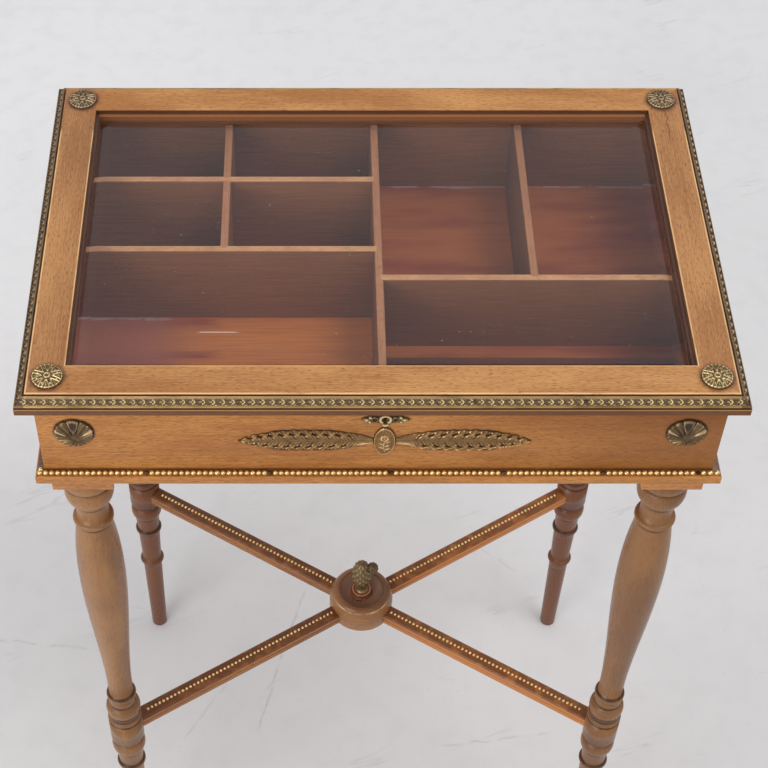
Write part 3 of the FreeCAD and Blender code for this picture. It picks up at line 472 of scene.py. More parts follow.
def studio_floor():
    """Seamless pale floor, unevenly lit, with soft scuffs, small spots, veins and faint cracks."""
    finish = Finish("studio_floor")
    x, y = finish.x, finish.y
    # Painted light and shade: lighter towards the back and the front left, darker at the front right.
    finish.colour = finish.mix(y.step(-0.9, 1.6), (212, 210, 211), (236, 236, 238))
    front = y.step(0.35, -0.35)
    finish.paint(front * x.step(-0.05, -0.60) * 0.9, (246, 246, 247))
    finish.paint(front * x.step(0.05, 0.60) * 0.5, (202, 200, 201))
    finish.paint(x.step(0.1, -1.0) * y.step(0.2, 1.2) * 0.7, (250, 248, 250))
    finish.paint(finish.noise(0.35, 4.0).step(0.45, 0.75) * 0.10, (190, 190, 192))
    finish.paint(finish.noise(0.030, 5.0).step(0.44, 0.70) * 0.07, (170, 170, 172))
    finish.paint(finish.noise(0.007).step(0.68, 0.78) * 0.14, (150, 150, 152))
    veins = finish.noise((0.55, 0.07, 0.10), 4.0, (0.0, 0.0, 0.35), (0.3, 0.1, 0.0)).near(0.5, 0.008, 0.0)
    finish.paint(veins * finish.noise(0.09, 3.0).step(0.52, 0.66) * 0.16, (140, 140, 142))
    wander = (finish.noise(0.030, 4.0) - 0.5) * 0.011
    faint = finish.noise(0.016, 3.0).step(0.34, 0.60)
    for (start_x, start_y), (end_x, end_y), strength in FLOOR_CRACKS:
        length = math.hypot(end_x - start_x, end_y - start_y)
        run, rise = (end_x - start_x) / length, (end_y - start_y) / length
        along = (x - start_x) * run + (y - start_y) * rise
        across = (x - start_x) * rise - (y - start_y) * run + wander
        crack = across.near(0.0, 0.0022, 0.0005) * along.window(0.0, 0.012, length - 0.012, length)
        finish.paint(crack * faint * strength, (128, 127, 129))
    return finish.done(finish.shader(finish.colour, 0.72, Specular_IOR_Level=0.2))


def ring_levels(node):
    """Heights of the sharp coves and of the narrow rings of a turned leg, found on its outline in mm."""
    cove_depth, ring_reach = 0.22, 0.6
    mesh = bpy.data.objects[node].data
    spots = np.array([vert.co for vert in mesh.vertices]) / MM
    axis = (spots.max(0) + spots.min(0)) / 2
    radius = np.hypot(spots[:, 0] - axis[0], spots[:, 1] - axis[1])
    levels = np.arange(spots[:, 2].min(), spots[:, 2].max(), 0.5)
    outline = np.array([radius[abs(spots[:, 2] - level) < 0.6].max(initial=0.0) for level in levels])
    outline = np.interp(levels, levels[outline > 0.0], outline[outline > 0.0])
    softened = np.convolve(np.pad(outline, 5, mode="edge"), np.ones(11) / 11, "valid")
    lack = softened - outline
    inner = range(4, len(levels) - 4)
    coves = [levels[k] * MM for k in inner if lack[k] > cove_depth and lack[k] == lack[k - 4:k + 5].max()]
    rings = [levels[k] * MM for k in inner if lack[k] < -ring_reach and lack[k] == lack[k - 4:k + 5].min()]
    return coves, rings


LEG_COVES, LEG_RINGS = ring_levels("leg_front_left")
# Start, end and strength of each crack in the floor.
FLOOR_CRACKS = (((-0.054, 0.182), (-0.081, 0.097), 0.20), ((-0.081, 0.097), (-0.108, -0.010), 0.26),
                ((-0.420, 0.112), (-0.270, 0.094), 0.22), ((0.090, -0.025), (0.215, -0.009), 0.20),
                ((-0.140, 0.060), (-0.190, -0.020), 0.14), ((0.150, 0.240), (0.210, 0.190), 0.14))
LID_TONES = ((204, 148, 90), (166, 109, 60), (114, 70, 40))
STILE_TONES = ((191, 138, 88), (155, 104, 62), (110, 69, 41))
CASE_TONES = ((197, 134, 68), (160, 99, 44), (112, 64, 29))
BASE_TONES = ((200, 138, 72), (164, 104, 49), (116, 69, 33))
DIVIDER_TONES = ((214, 152, 106), (182, 122, 84), (134, 84, 60))
PALE_DIVIDER_TONES = ((254, 196, 136), (230, 164, 110), (166, 110, 76))
ARM_TONES = ((174, 115, 63), (138, 87, 47), (84, 50, 30))
LID_WEAR = {"marks": lid_marks, "worn": (242, 196, 136), "rub": 0.9}

finishes = {
    "lid_x": wood("lid_wood_long", *LID_TONES, GRAIN_X, **LID_WEAR),
    "lid_y": wood("lid_wood_short", *STILE_TONES, GRAIN_Y, **LID_WEAR),
    "case_x": wood("case_wood_long", *CASE_TONES, GRAIN_X, marks=case_marks),
    "case_y": wood("case_wood_short", *CASE_TONES, GRAIN_Y, marks=case_marks),
    "base_x": wood("base_wood_long", *BASE_TONES, GRAIN_X),
    "base_y": wood("base_wood_short", *BASE_TONES, GRAIN_Y),
    "pad": wood("pad_wood", (206, 140, 80), (168, 108, 58), (112, 68, 36), GRAIN_X),
    "floor": wood("floor_wood", (184, 86, 44), (148, 62, 38), (104, 50, 34), GRAIN_X, marks=floor_marks,
                  fleck_share=0.4, cloud=0.016, stroke=0.5),
    "divider_x": wood("divider_wood_long", *PALE_DIVIDER_TONES, GRAIN_X, marks=divider_marks,
                      worn=(240, 190, 140)),
    "divider_y": wood("divider_wood_short", *DIVIDER_TONES, GRAIN_Y, marks=divider_marks,
                      worn=(216, 160, 116)),
    "glazing": wood("glazing_wood", (104, 72, 58), (88, 60, 50), (60, 42, 36), GRAIN_X, marks=glazing_marks),
    "leg": wood("leg_wood", (158, 112, 68), (128, 87, 52), (64, 41, 26), GRAIN_Z, roughness=0.27,
                marks=leg_marks, fleck_share=0.22, stroke=0.22),
    # The arms' arrises are rubbed lighter than elsewhere, partly wear and partly a painted highlight.
    "arm_a": wood("stretcher_wood_rising", *ARM_TONES, (0.0, 0.0, ARM_ANGLE), marks=arm_marks, rub=0.9),
    "arm_b": wood("stretcher_wood_falling", *ARM_TONES, (0.0, 0.0, -ARM_ANGLE), marks=arm_marks, rub=0.9),
    "hub": wood("hub_wood", (172, 122, 76), (138, 94, 58), (88, 56, 38), GRAIN_X, roughness=0.24,
                marks=hub_marks, fleck_share=0.3),
    "glass": plate_glass(),
    "band": band_brass(),
    "nail": steel("nail_steel", (120, 96, 76), (66, 48, 40), 0.55),
    "lock": steel("lock_steel", (150, 148, 144), (96, 90, 86)),
    "stud": steel("stud_steel", (164, 162, 160), (120, 116, 112)),
    "bead": brass("bead_brass", (255, 238, 180), (250, 204, 130), (196, 138, 78), 0.28, luck=0.2),
}
# Bright, dull and recess tone, and roughness, of the cast and of the plain brass pieces.
for name, tones in {
        "band_relief": ((255, 240, 198), (196, 164, 112), (80, 60, 38), 0.40),
        # A duller copy of the band's relief for the short sides: painted shade.
        "side_relief": ((176, 150, 110), (122, 98, 68), (66, 50, 38), 0.50),
        "mount": ((238, 216, 162), (140, 116, 78), (66, 53, 38), 0.36),
        "back_mount": ((200, 178, 142), (124, 104, 78), (74, 60, 48), 0.45),
        "shell": ((214, 186, 142), (124, 100, 70), (64, 50, 38), 0.42),
        "front_mount": ((246, 206, 146), (150, 114, 70), (72, 54, 36), 0.36),
        "finial": ((206, 180, 130), (140, 118, 82), (74, 60, 46), 0.38)}.items():
    finishes[name] = brass(name + "_brass", *tones)
for name, tones in {
        "bead_strip": ((202, 148, 90), (158, 112, 66), (104, 70, 42), 0.5),
        "plain_strip": ((176, 156, 140), (138, 118, 106), (90, 74, 64), 0.4),
        "hinge": ((222, 188, 116), (176, 142, 84), (110, 84, 50), 0.3)}.items():
    finishes[name] = brass(name + "_brass", *tones, plain=True)


# ---- meshes and pieces --------------------------------------------------------------
def smooth(mesh, degrees=35):
    mesh.polygons.foreach_set("use_smooth", [True] * len(mesh.polygons))
    mesh.set_sharp_from_angle(angle=math.radians(degrees))
    return mesh


def piece(name, mesh, finish, slot, body, *nodes):
    """A finished piece that rides on a body and stands for the given nodes."""
    mesh.name = name
    if finish is not None:
        mesh.materials.clear()
        mesh.materials.append(finishes[finish])
    made = bpy.data.objects.new(name, mesh)
    bpy.context.scene.collection.objects.link(made)
    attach(made, body)
    if nodes:
        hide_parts(*nodes)
    return made


def dress(node, finish):
    """A frame node that keeps its own mesh."""
    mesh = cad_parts[node].data
    mesh.materials.clear()
    mesh.materials.append(finishes[finish])


def merged(node):
    """Copy of a frame node with its loose triangles joined."""
    form = bmesh.new()
    form.from_mesh(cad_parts[node].data)
    bmesh.ops.remove_doubles(form, verts=form.verts, dist=0.000004)
    return form


def finish_mesh(form, degrees=35):
    mesh = bpy.data.meshes.new("finished")
    form.to_mesh(mesh)
    form.free()
    return smooth(mesh, degrees)


def eased(node, finish, slot, body, width=0.35):
    """Board with its arrises rounded over; the rounded faces carry the attribute arris."""
    form = merged(node)
    bmesh.ops.dissolve_limit(form, angle_limit=math.radians(1.0), verts=form.verts, edges=form.edges)
    sharp = [edge for edge in form.edges if edge.is_manifold and edge.calc_face_angle(0.0) > math.radians(20)]
    made = bmesh.ops.bevel(form, geom=sharp, offset=width * MM, segments=2, profile=0.6, affect="EDGES",
                           clamp_overlap=True)
    layer = form.faces.layers.float.new("arris")
    for face in made["faces"]:
        if face.is_valid:
            face[layer] = 1.0
    bmesh.ops.triangulate(form, faces=[face for face in form.faces if len(face.verts) > 4])
    return piece(node + "_finished", finish_mesh(form), finish, slot, body, node)


def turned(node, finish, slot, body):
    return piece(node + "_finished", finish_mesh(merged(node), 40), finish, slot, body, node)


def mesh_of(points, faces, tone):
    mesh = bpy.data.meshes.new("form")
    mesh.from_pydata([tuple(point) for point in points], [], faces)
    mesh.attributes.new("tone", "FLOAT", "POINT").data.foreach_set("value", np.asarray(tone, np.float32))
    return mesh


def carved(edge, shape, half, step, centre=(0.0, 0.0)):
    """Closed cast plate on the XY plane, in mm.  edge(x, y) is above 0 inside its outline and grows by
    about 1 a millimetre; shape(x, y) gives its height, and its tone from 0 in a hollow to 1 on a ridge."""
    xs = np.arange(-half[0], half[0] + step, step) + centre[0]
    ys = np.arange(-half[1], half[1] + step, step) + centre[1]
    x, y = np.meshgrid(xs, ys, indexing="ij")
    cells = edge((x[:-1, :-1] + x[1:, 1:]) / 2, (y[:-1, :-1] + y[1:, 1:]) / 2) > 0
    count = np.zeros(x.shape, int)
    for i in (0, 1):
        for j in (0, 1):
            count[i:i + cells.shape[0], j:j + cells.shape[1]] += cells
    used, border = count > 0, (count > 0) & (count < 4)
    for _ in range(3):
        here = edge(x, y)
        run = (edge(x + 0.05, y) - here) / 0.05
        rise = (edge(x, y + 0.05) - here) / 0.05
        share = np.clip(-here / np.maximum(run * run + rise * rise, 0.2), -0.5 * step, 0.5 * step)
        x, y = np.where(border, x + share * run, x), np.where(border, y + share * rise, y)
    z, tone = shape(x, y)
    z = np.where(border, 0.45 * z, z)
    number = np.full(x.shape, -1)
    number[used] = np.arange(used.sum())
    total = int(used.sum())
    top = np.stack([x[used], y[used], z[used]], 1)
    points = np.concatenate([top, top * (1, 1, 0)])
    faces = []
    for i, j in zip(*np.nonzero(cells)):
        ring = [number[i, j], number[i + 1, j], number[i + 1, j + 1], number[i, j + 1]]
        faces.append(ring)
        faces.append([corner + total for corner in reversed(ring)])
        for k, (di, dj) in enumerate(((0, -1), (1, 0), (0, 1), (-1, 0))):
            m, n = i + di, j + dj
            if not (0 <= m < cells.shape[0] and 0 <= n < cells.shape[1] and cells[m, n]):
                start, end = ring[k], ring[(k + 1) % 4]
                faces.append([end, start, start + total, end + total])
    # The border's tone is lowered: painted shade round the outline.
    tones = np.concatenate([np.where(border, 0.55 * tone, tone)[used], np.zeros(total)])
    return mesh_of(points, faces, tones)


def cast(name, mesh, place, finish, node, body="case"):
    """A mount drawn in millimetres on the XY plane, set in the place of a node."""
    mesh.transform(place @ Matrix.Scale(MM, 4))
    return piece(name, smooth(mesh, 50), finish, "mount_brass", body, node)


def on_front(x, z):
    """Plate drawn on XY, laid against the case's front with its face outwards."""
    return Matrix.Translation((x, -CASE_HALF[1], z)) @ Matrix.Rotation(math.radians(90), 4, "X")


# ---- rows of small forms ------------------------------------------------------------
class RowTree(Tree):
    """Geometry nodes that set a unit along every line of a mesh at an even pitch, face up to a direction."""

    def __init__(self):
        self.group = bpy.data.node_groups.new("row_of_units", "GeometryNodeTree")
        self.nodes, self.links = self.group.nodes, self.group.links
        face = self.group.interface
        face.new_socket("Lines", in_out="INPUT", socket_type="NodeSocketGeometry")
        face.new_socket("Row", in_out="OUTPUT", socket_type="NodeSocketGeometry")
        self.names = {}
        for name, kind in (("Unit", "Object"), ("Pitch", "Float"), ("Facing", "Vector"),
                           ("Size Spread", "Float"), ("Seed", "Int"), ("Finish", "Material")):
            socket = face.new_socket(name, in_out="INPUT", socket_type="NodeSocket" + kind)
            self.names[name] = socket.identifier
        given = self.nodes.new("NodeGroupInput")
        value = {name: Field(self, given.outputs[name]) for name in self.names}
        lines = self.node("GeometryNodeMeshToCurve", {}, {0: Field(self, given.outputs["Lines"])})
        points = self.node("GeometryNodeResampleCurve", {"mode": "LENGTH"},
                           {"Curve": lines, "Length": value["Pitch"]})
        unit = self.node("GeometryNodeObjectInfo", {}, {"Object": value["Unit"]}, "Geometry")
        along = self.node("GeometryNodeInputTangent")
        turn = self.node("FunctionNodeAlignRotationToVector", {"axis": "X"}, {"Vector": along})
        turn = self.node("FunctionNodeAlignRotationToVector", {"axis": "Z", "pivot_axis": "X"},
                         {"Rotation": turn, "Vector": value["Facing"]})
        spread = value["Size Spread"]
        scale = self.node("FunctionNodeRandomValue", {"data_type": "FLOAT"},
                          {2: 1 - spread, 3: 1 + spread, "Seed": value["Seed"]}, 1)
        placed = self.node("GeometryNodeInstanceOnPoints", {},
                           {"Points": points, "Instance": unit, "Rotation": turn, "Scale": scale})
        luck = self.node("FunctionNodeRandomValue", {"data_type": "FLOAT"}, {"Seed": value["Seed"] + 7}, 1)
        placed = self.node("GeometryNodeStoreNamedAttribute", {"data_type": "FLOAT", "domain": "INSTANCE"},
                           {"Geometry": placed, "Name": "luck", "Value": luck})
        whole = self.node("GeometryNodeRealizeInstances", {}, {0: placed})
        whole = self.node("GeometryNodeSetMaterial", {}, {"Geometry": whole, "Material": value["Finish"]})
        end = self.nodes.new("NodeGroupOutput")
        self.links.new(whole.socket, end.inputs["Row"])

    def run(self, lines, unit, pitch, facing, finish, spread=0.0, seed=1):
        """Plain mesh of one row set; lines is a list of (start, end) in metres."""
        points = [tuple(end) for line in lines for end in line]
        mesh = bpy.data.meshes.new("lines")
        mesh.from_pydata(points, [(i, i + 1) for i in range(0, len(points), 2)], [])
        stock = bpy.data.objects.new("unit", unit)
        holder = bpy.data.objects.new("lines", mesh)
        for made in (stock, holder):
            bpy.context.scene.collection.objects.link(made)
        tool = holder.modifiers.new("row", "NODES")
        tool.node_group = self.group
        values = {"Unit": stock, "Pitch": pitch, "Facing": facing, "Size Spread": spread, "Seed": seed,
                  "Finish": finishes[finish]}
        for name, value in values.items():
            tool[self.names[name]] = value
        bpy.context.view_layer.update()
        result = bpy.data.meshes.new_from_object(holder.evaluated_get(bpy.context.evaluated_depsgraph_get()))
        holder.modifiers.remove(tool)
        for made in (stock, holder):
            bpy.data.objects.remove(made)
        return smooth(result, 60)


def joined(meshes):
    """One mesh of several, with their finishes and attributes."""
    parts = []
    for mesh in meshes:
        made = bpy.data.objects.new("part", mesh)
        bpy.context.scene.collection.objects.link(made)
        parts.append(made)
    with bpy.context.temp_override(active_object=parts[0], object=parts[0], selected_editable_objects=parts,
                                   selected_objects=parts):
        bpy.ops.object.join()
    result = parts[0].data.copy()
    bpy.data.objects.remove(parts[0])
    return result


def bead_unit(radius, height, sides=10, rings=3):
    """Low dome standing on its flat base, with a tone that paints it brightest on its crown, a painted
    highlight.
    """
    points, tone, faces = [], [], []
    for k in range(rings):
        lift = 0.5 * math.pi * k / rings
        for i in range(sides):
            turn = 2 * math.pi * i / sides
            points.append((radius * math.cos(lift) * math.cos(turn), radius * math.cos(lift) * math.sin(turn),
                           height * math.sin(lift)))
            tone.append(0.30 + 0.7 * math.sin(lift))
    points.append((0.0, 0.0, height))
    tone.append(1.0)
    crown = len(points) - 1
    for i in range(sides):
        j = (i + 1) % sides
        for k in range(rings - 1):
            faces.append([k * sides + i, k * sides + j, (k + 1) * sides + j, (k + 1) * sides + i])
        faces.append([(rings - 1) * sides + i, (rings - 1) * sides + j, crown])
    faces.append(list(range(sides))[::-1])
    mesh = mesh_of(points, faces, tone)
    mesh.transform(Matrix.Scale(MM, 4))
    return smooth(mesh, 70)


def leaf_form(x, y, turn, length, width, height, bright=1.0):
    """Ridged leaf of seven faces from its root at (x, y): points, faces and tones, in mm."""
    points = [(0.0, 0.0, 0.0)]
    half = 0.5 * width * 0.85
    for along in (0.30 * length, 0.68 * length):
        points += [(along, half, 0.0), (along, 0.0, height), (along, -half, 0.0)]
    points.append((length, 0.0, 0.0))
    tone = [0.8, 0.5, bright, 0.5, 0.5, bright, 0.5, 0.8]
    faces = [(0, 2, 1), (0, 3, 2), (4, 5, 7), (5, 6, 7), (1, 2, 5, 4), (2, 3, 6, 5), (0, 1, 4, 7, 6, 3)]
    spot = Matrix.Translation((x, y, 0.0)) @ Matrix.Rotation(math.radians(turn), 4, "Z")
    return [spot @ Vector(point) for point in points], faces, tone


def band_unit():
    """One repeat of the lid's band: an arrowhead of two leaves with small buds about it."""
    forms = [leaf_form(-3.3, 0.0, 0, 2.6, 1.5, 0.7, 0.9)]
    for way in (-1, 1):
        forms.append(leaf_form(-1.3, way * 2.3, way * -40, 3.6, 1.7, 0.85, 1.0))
        forms.append(leaf_form(0.9, way * 2.3, way * 5, 2.4, 1.3, 0.6, 0.75))
    points, faces, tone = [], [], []
    for corners, sides, tones in forms:
        faces += [tuple(index + len(points) for index in face) for face in sides]
        points += corners
        tone += tones
    form = bmesh.new()
    mesh = mesh_of(points, faces, tone)
    form.from_mesh(mesh)
    bmesh.ops.recalc_face_normals(form, faces=form.faces)
    form.to_mesh(mesh)
    form.free()
    mesh.transform(Matrix.Scale(MM, 4))
    return mesh


# ---- cast mounts --------------------------------------------------------------------
def bump_at(value, place, width):
    return np.exp(-((value - place) / width) ** 2)


def ease(value, start, end):
    """0 before start, 1 past end, and a soft step between; start may be past end."""
    share = np.clip((value - start) / (end - start), 0, 1)
    return share * share * (3 - 2 * share)


def ring_share(angle, count):
    """Distance from the nearest of count evenly spaced rays: 0 on a ray, 1 half way to the next."""
    turn = angle / (2 * math.pi) * count % 1.0
    return 2 * np.minimum(turn, 1 - turn)


def rosette():
    """Domed flower: eyelet, eight petals outlined by fine ridges, buds between them and a scalloped rim, with
    painted light on its lower half.
    """
    radius = 11.5

    def edge(x, y):
        return radius - 0.05 - 0.35 * ring_share(np.arctan2(y, x), 24) - np.hypot(x, y)

    def shape(x, y):
        away, angle = np.hypot(x, y), np.arctan2(y, x)
        share, turn = away / radius, ring_share(angle, 8)
        dome = 0.9 + 1.8 * np.sqrt(np.clip(1 - (share / 1.02) ** 2, 0, 1))
        across = turn * away * math.pi / 8
        between = (1 - turn) * away * math.pi / 8
        half = 0.5 + 2.3 * np.clip((share - 0.36) / 0.52, 0, 1) ** 1.2
        ridges = [bump_at(away, 2.0, 0.6), bump_at(away, 4.6, 1.1) * bump_at(across, 0, 0.85),
                  bump_at(across, half, 0.42) * (share > 0.38) * (share < 0.88),
                  0.6 * bump_at(across, 0, 0.40) * ease(share, 0.52, 0.6) * ease(share, 0.84, 0.76),
                  0.9 * bump_at(away, 7.6, 0.8) * bump_at(between, 0, 0.7),
                  bump_at(share, 0.925, 0.045) * (0.3 + 0.7 * (1 - ring_share(angle, 24) ** 2))]
        ridge = np.maximum.reduce(ridges)
        # Painted light: brighter on the lower half, darker on the upper half.
        front = 0.76 - 0.22 * np.sin(angle) * ease(share, 0.1, 0.5)
        return dome + 0.85 * ridge, np.clip(0.22 + 1.0 * ridge * front, 0, 1)

    return carved(edge, shape, (radius, radius), 0.22)


def shell_fan():
    """Fan of petals from a point below the middle, with a hollow bud on top, painted highlights on the
    diagonal petals and painted light on the lower ones.
    """
    radius, focus = 14.7, -5.4
    # Direction and half width of each petal on one side, in degrees, and the strength of the painted
    # highlight on it.
    rays = ((90, 15, 0.0), (63, 10, 0.22), (46, 8, 0.12), (31, 8, 1.0), (15, 8, 0.15), (-1, 9, 0.05),
            (-19, 10, 0.15), (-40, 12, 0.05), (-64, 13, 0.15), (-90, 13, 0.05))

    def petals(x, y):
        dx, dy = abs(x), y - focus
        angle, away = np.degrees(np.arctan2(dy, dx)), np.hypot(dx, dy)
        run, rise = dx / np.maximum(away, 1e-6), dy / np.maximum(away, 1e-6)
        share = away / (-focus * rise + np.sqrt(np.maximum(radius ** 2 - (focus * run) ** 2, 0.0)))
        best, shine = np.zeros_like(angle), np.zeros_like(angle)
        for place, half, bright in rays:
            form = np.clip(1 - ((angle - place) / half) ** 2, 0, 1)
            best = np.maximum(best, form)
            shine = np.maximum(shine, form ** 2 * bright)
        return angle, share, best, shine

    def edge(x, y):
        angle, share, best, _ = petals(x, y)
        return (0.99 - 0.08 * (1 - best) ** 2 - share) * 13.0

    def shape(x, y):
        angle, share, best, shine = petals(x, y)
        rise = ease(share, 0.12, 0.32) * ease(share, 1.04, 0.90)
        relief = best ** 0.8 * rise
        inside = np.hypot((angle - 90) / 14.0, (share - 0.66) / 0.28)
        hollow, ring = np.clip(1.2 - inside, 0, 1), bump_at(inside, 1.0, 0.22)
        seam = bump_at(best, 0.34, 0.13) * rise
        crown = bump_at(share, 0.0, 0.12) * (0.6 + 0.4 * np.sin(angle / 6.0))
        height = 0.9 + 0.7 * np.sqrt(np.clip(1 - share ** 2, 0, 1)) + 1.5 * relief * (1 - 0.9 * hollow)
        # shine is a painted highlight, strongest on the two diagonal petals; the next line paints light on
        # the lower petals.
        tone = 0.12 + 0.13 * relief + 0.42 * seam + 0.75 * shine * rise * ease(share, 0.25, 0.6)
        tone += 0.14 * ease(y, 1.0, -10.0)
        tone += 0.35 * crown + 0.30 * ring + 0.18 * bump_at(share, 0.93, 0.05)
        return np.minimum(height + 0.3 * crown, 3.6), np.clip(tone - 0.25 * hollow, 0, 1)

    return carved(edge, shape, (15.4, 15.4), 0.27)


def laurel_spray(way):
    """Spray of slanting leaves with a pierced hole between their tips, and two smooth leaves at its root."""
    length, half, pitch = 99.0, 11.9, 8.3

    def local(x, y):
        along = x * way
        wide = half * np.interp(along, (0, 8.6, 18.4, 30.6, 44, 58, 70, 86, 93, 99),
                                (0.25, 0.57, 0.77, 0.93, 0.99, 1.0, 0.88, 0.60, 0.34, 0.06))
        return along, y - 0.6 * np.sin(along / length * math.pi), np.maximum(wide, 0.5)

    def leaves(along, across, wide):
        """Distance from the nearest seam between leaves, and share across the leaf from -0.5 to 0.5."""
        phase = along / pitch - 0.075 * np.abs(across) + np.where(across > 0, 0.35, 0.85)
        turn = (phase + 0.5) % 1.0 - 0.5
        return turn * pitch, phase % 1.0 - 0.5

    def hole(along, across, wide):
        seam, _ = leaves(along, across, wide)
        size = 1.40 * ease(along, 12.0, 22.0) * ease(along, 99.0, 92.0)
        return np.hypot(seam * 0.8, np.abs(across) - 0.60 * wide) - size

    def edge(x, y):
        along, across, wide = local(x, y)
        _, turn = leaves(along, across, wide)
        outer = wide - 5.0 * turn ** 2 * ease(along, 8.0, 20.0) - np.abs(across)
        ends = np.minimum(along + 0.1, length - along)
        return np.minimum(np.minimum(outer, ends), hole(along, across, wide))

    def shape(x, y):
        along, across, wide = local(x, y)
        seam, turn = leaves(along, across, wide)
        plain = ease(along, 17.0, 7.0)
        depth = np.abs(across) / wide
        camber = np.clip(1 - depth ** 2, 0, 1)
        leaf = (1 - 4 * turn ** 2) * ease(depth, 0.06, 0.30)
        notch = bump_at(seam, 0.0, 0.55) * ease(depth, 0.45, 0.62)
        ring = bump_at(hole(along, across, wide), 1.1, 0.55)
        veins = np.cos((turn - 0.5 * depth * turn) * 8 * math.pi) * ease(depth, 0.05, 0.2)
        rib = bump_at(across, 0.0, 0.5) + 0.6 * bump_at(np.abs(across), 1.9, 0.4)
        blade = plain * bump_at(depth, 0.5, 0.33) * np.where(across < 0, 1.0, 0.35)
        lip = bump_at(wide - np.abs(across) - 5.0 * turn ** 2, 0.9, 0.7) * (way > 0)
        lip = lip * np.where(across < 0, 1.0, 0.12)
        detail = 0.12 * leaf - 0.25 * notch + 0.26 * ring + 0.18 * veins
        height = 0.6 + 0.5 * camber + 0.6 * blade + 0.22 * rib
        height += (1 - plain) * (0.45 * leaf - 0.5 * notch + 0.45 * ring + 0.12 * veins)
        # This tone paints much of the leaves' light and shade: lighter on the leaves, ribs and blades, darker
        # in the notches.
        tone = 0.22 + (1 - plain) * detail + 0.26 * rib + 0.55 * blade + 0.5 * lip * ease(along, 8.0, 14.0)
        return np.clip(height, 0.3, 2.15), np.clip(tone, 0, 1)

    return carved(edge, shape, (length / 2 + 0.6, half + 0.8), 0.30, (way * length / 2, 0.0))


def medallion():
    """Oval with a fine rim round a small generic flower on a stem."""
    wide, tall = 8.3, 15.8

    def edge(x, y):
        return (0.985 - np.hypot(x / wide, y / tall)) * 9.5

    def shape(x, y):
        share = np.hypot(x / wide, y / tall)
        angle = np.arctan2(y / tall, x / wide)
        rim = bump_at(share, 0.91, 0.05) * (0.7 + 0.3 * (1 - ring_share(angle, 30) ** 2))
        top = np.hypot(x, y - 4.0)
        lobes = 0.72 + 0.28 * (1 - ring_share(np.arctan2(y - 4, x), 5) ** 2)
        bloom = np.clip(1.1 - (top / (4.6 * lobes)) ** 3, 0, 1) * (0.6 + 0.4 * np.cos(top * 2.4))
        stem = bump_at(x - 0.5 * np.sin(y * 0.35), 0, 0.6) * (y < 1) * (y > -11.5)
        leaf = np.zeros_like(x)
        for y0, side in ((-1.5, 1), (-3.6, -1), (-5.7, 1), (-7.8, -1), (-9.6, 1)):
            u, v = (x * side * 0.85 + (y - y0) * 0.53) / 3.2, (x * side * -0.53 + (y - y0) * 0.85) / 1.2
            leaf = np.maximum(leaf, np.clip(1.2 - np.hypot(u - 0.85, v), 0, 1))
        sprig = np.clip(np.sin(x * 2.1 + 0.8 * y) * np.sin(y * 1.7 - 0.6 * x), 0, 1) * (share < 0.84)
        relief = np.maximum.reduce([bloom, stem * 0.7, leaf * 0.9, sprig * 0.55])
        height = 1.1 + 0.8 * np.sqrt(np.clip(1 - share ** 2, 0, 1)) + 0.7 * rim + 0.8 * relief
        return np.minimum(height, 3.0), np.clip(0.30 + 0.45 * rim + 0.55 * relief, 0, 1)

    return carved(edge, shape, (8.6, 16.1), 0.28)


def escutcheon():
    """Keyhole ring with a pierced scroll and a leafy tip on each side."""

    def forms(x, y):
        side = abs(x)
        return (5.4 - np.hypot(x, y), 3.0 - np.hypot(x * 0.9, y + 5.2), 3.2 - np.hypot(side - 7.6, y + 0.2),
                1.9 - np.hypot(side - 11.0, y - 2.2), 1.8 - np.hypot(side - 11.4, y + 2.4),
                2.7 - np.hypot((side - 13.8) * 0.85, y * 1.15))

    def holes(x, y):
        side = abs(x)
        keyhole = np.minimum(np.hypot(x, y) - 2.3, np.maximum(np.abs(x) - 0.9, -(y + 4.4)) + 5.0 * (y > 0))
        return np.minimum(keyhole, np.hypot(side - 7.6, y + 0.2) - 1.6)

    def edge(x, y):
        return np.minimum(np.maximum.reduce(forms(x, y)), holes(x, y))

    def shape(x, y):
        parts = forms(x, y)
        inner, second = np.sort(np.stack(parts), axis=0)[-1], np.sort(np.stack(parts), axis=0)[-2]
        crest = np.clip(np.minimum(inner, holes(x, y)) / 1.1, 0, 1)
        seam = bump_at(inner - second, 0, 0.5) * (second > -0.5)
        spiral = bump_at(np.hypot(abs(x) - 13.8, y), 1.5, 0.4) * 0.4
        height = 0.6 + 0.85 * np.sqrt(crest) - 0.35 * seam
        return height, np.clip(0.22 + 0.62 * crest ** 2 - 0.5 * seam - spiral, 0, 1)

    return carved(edge, shape, (17.2, 9.0), 0.25, (0.0, -0.8))


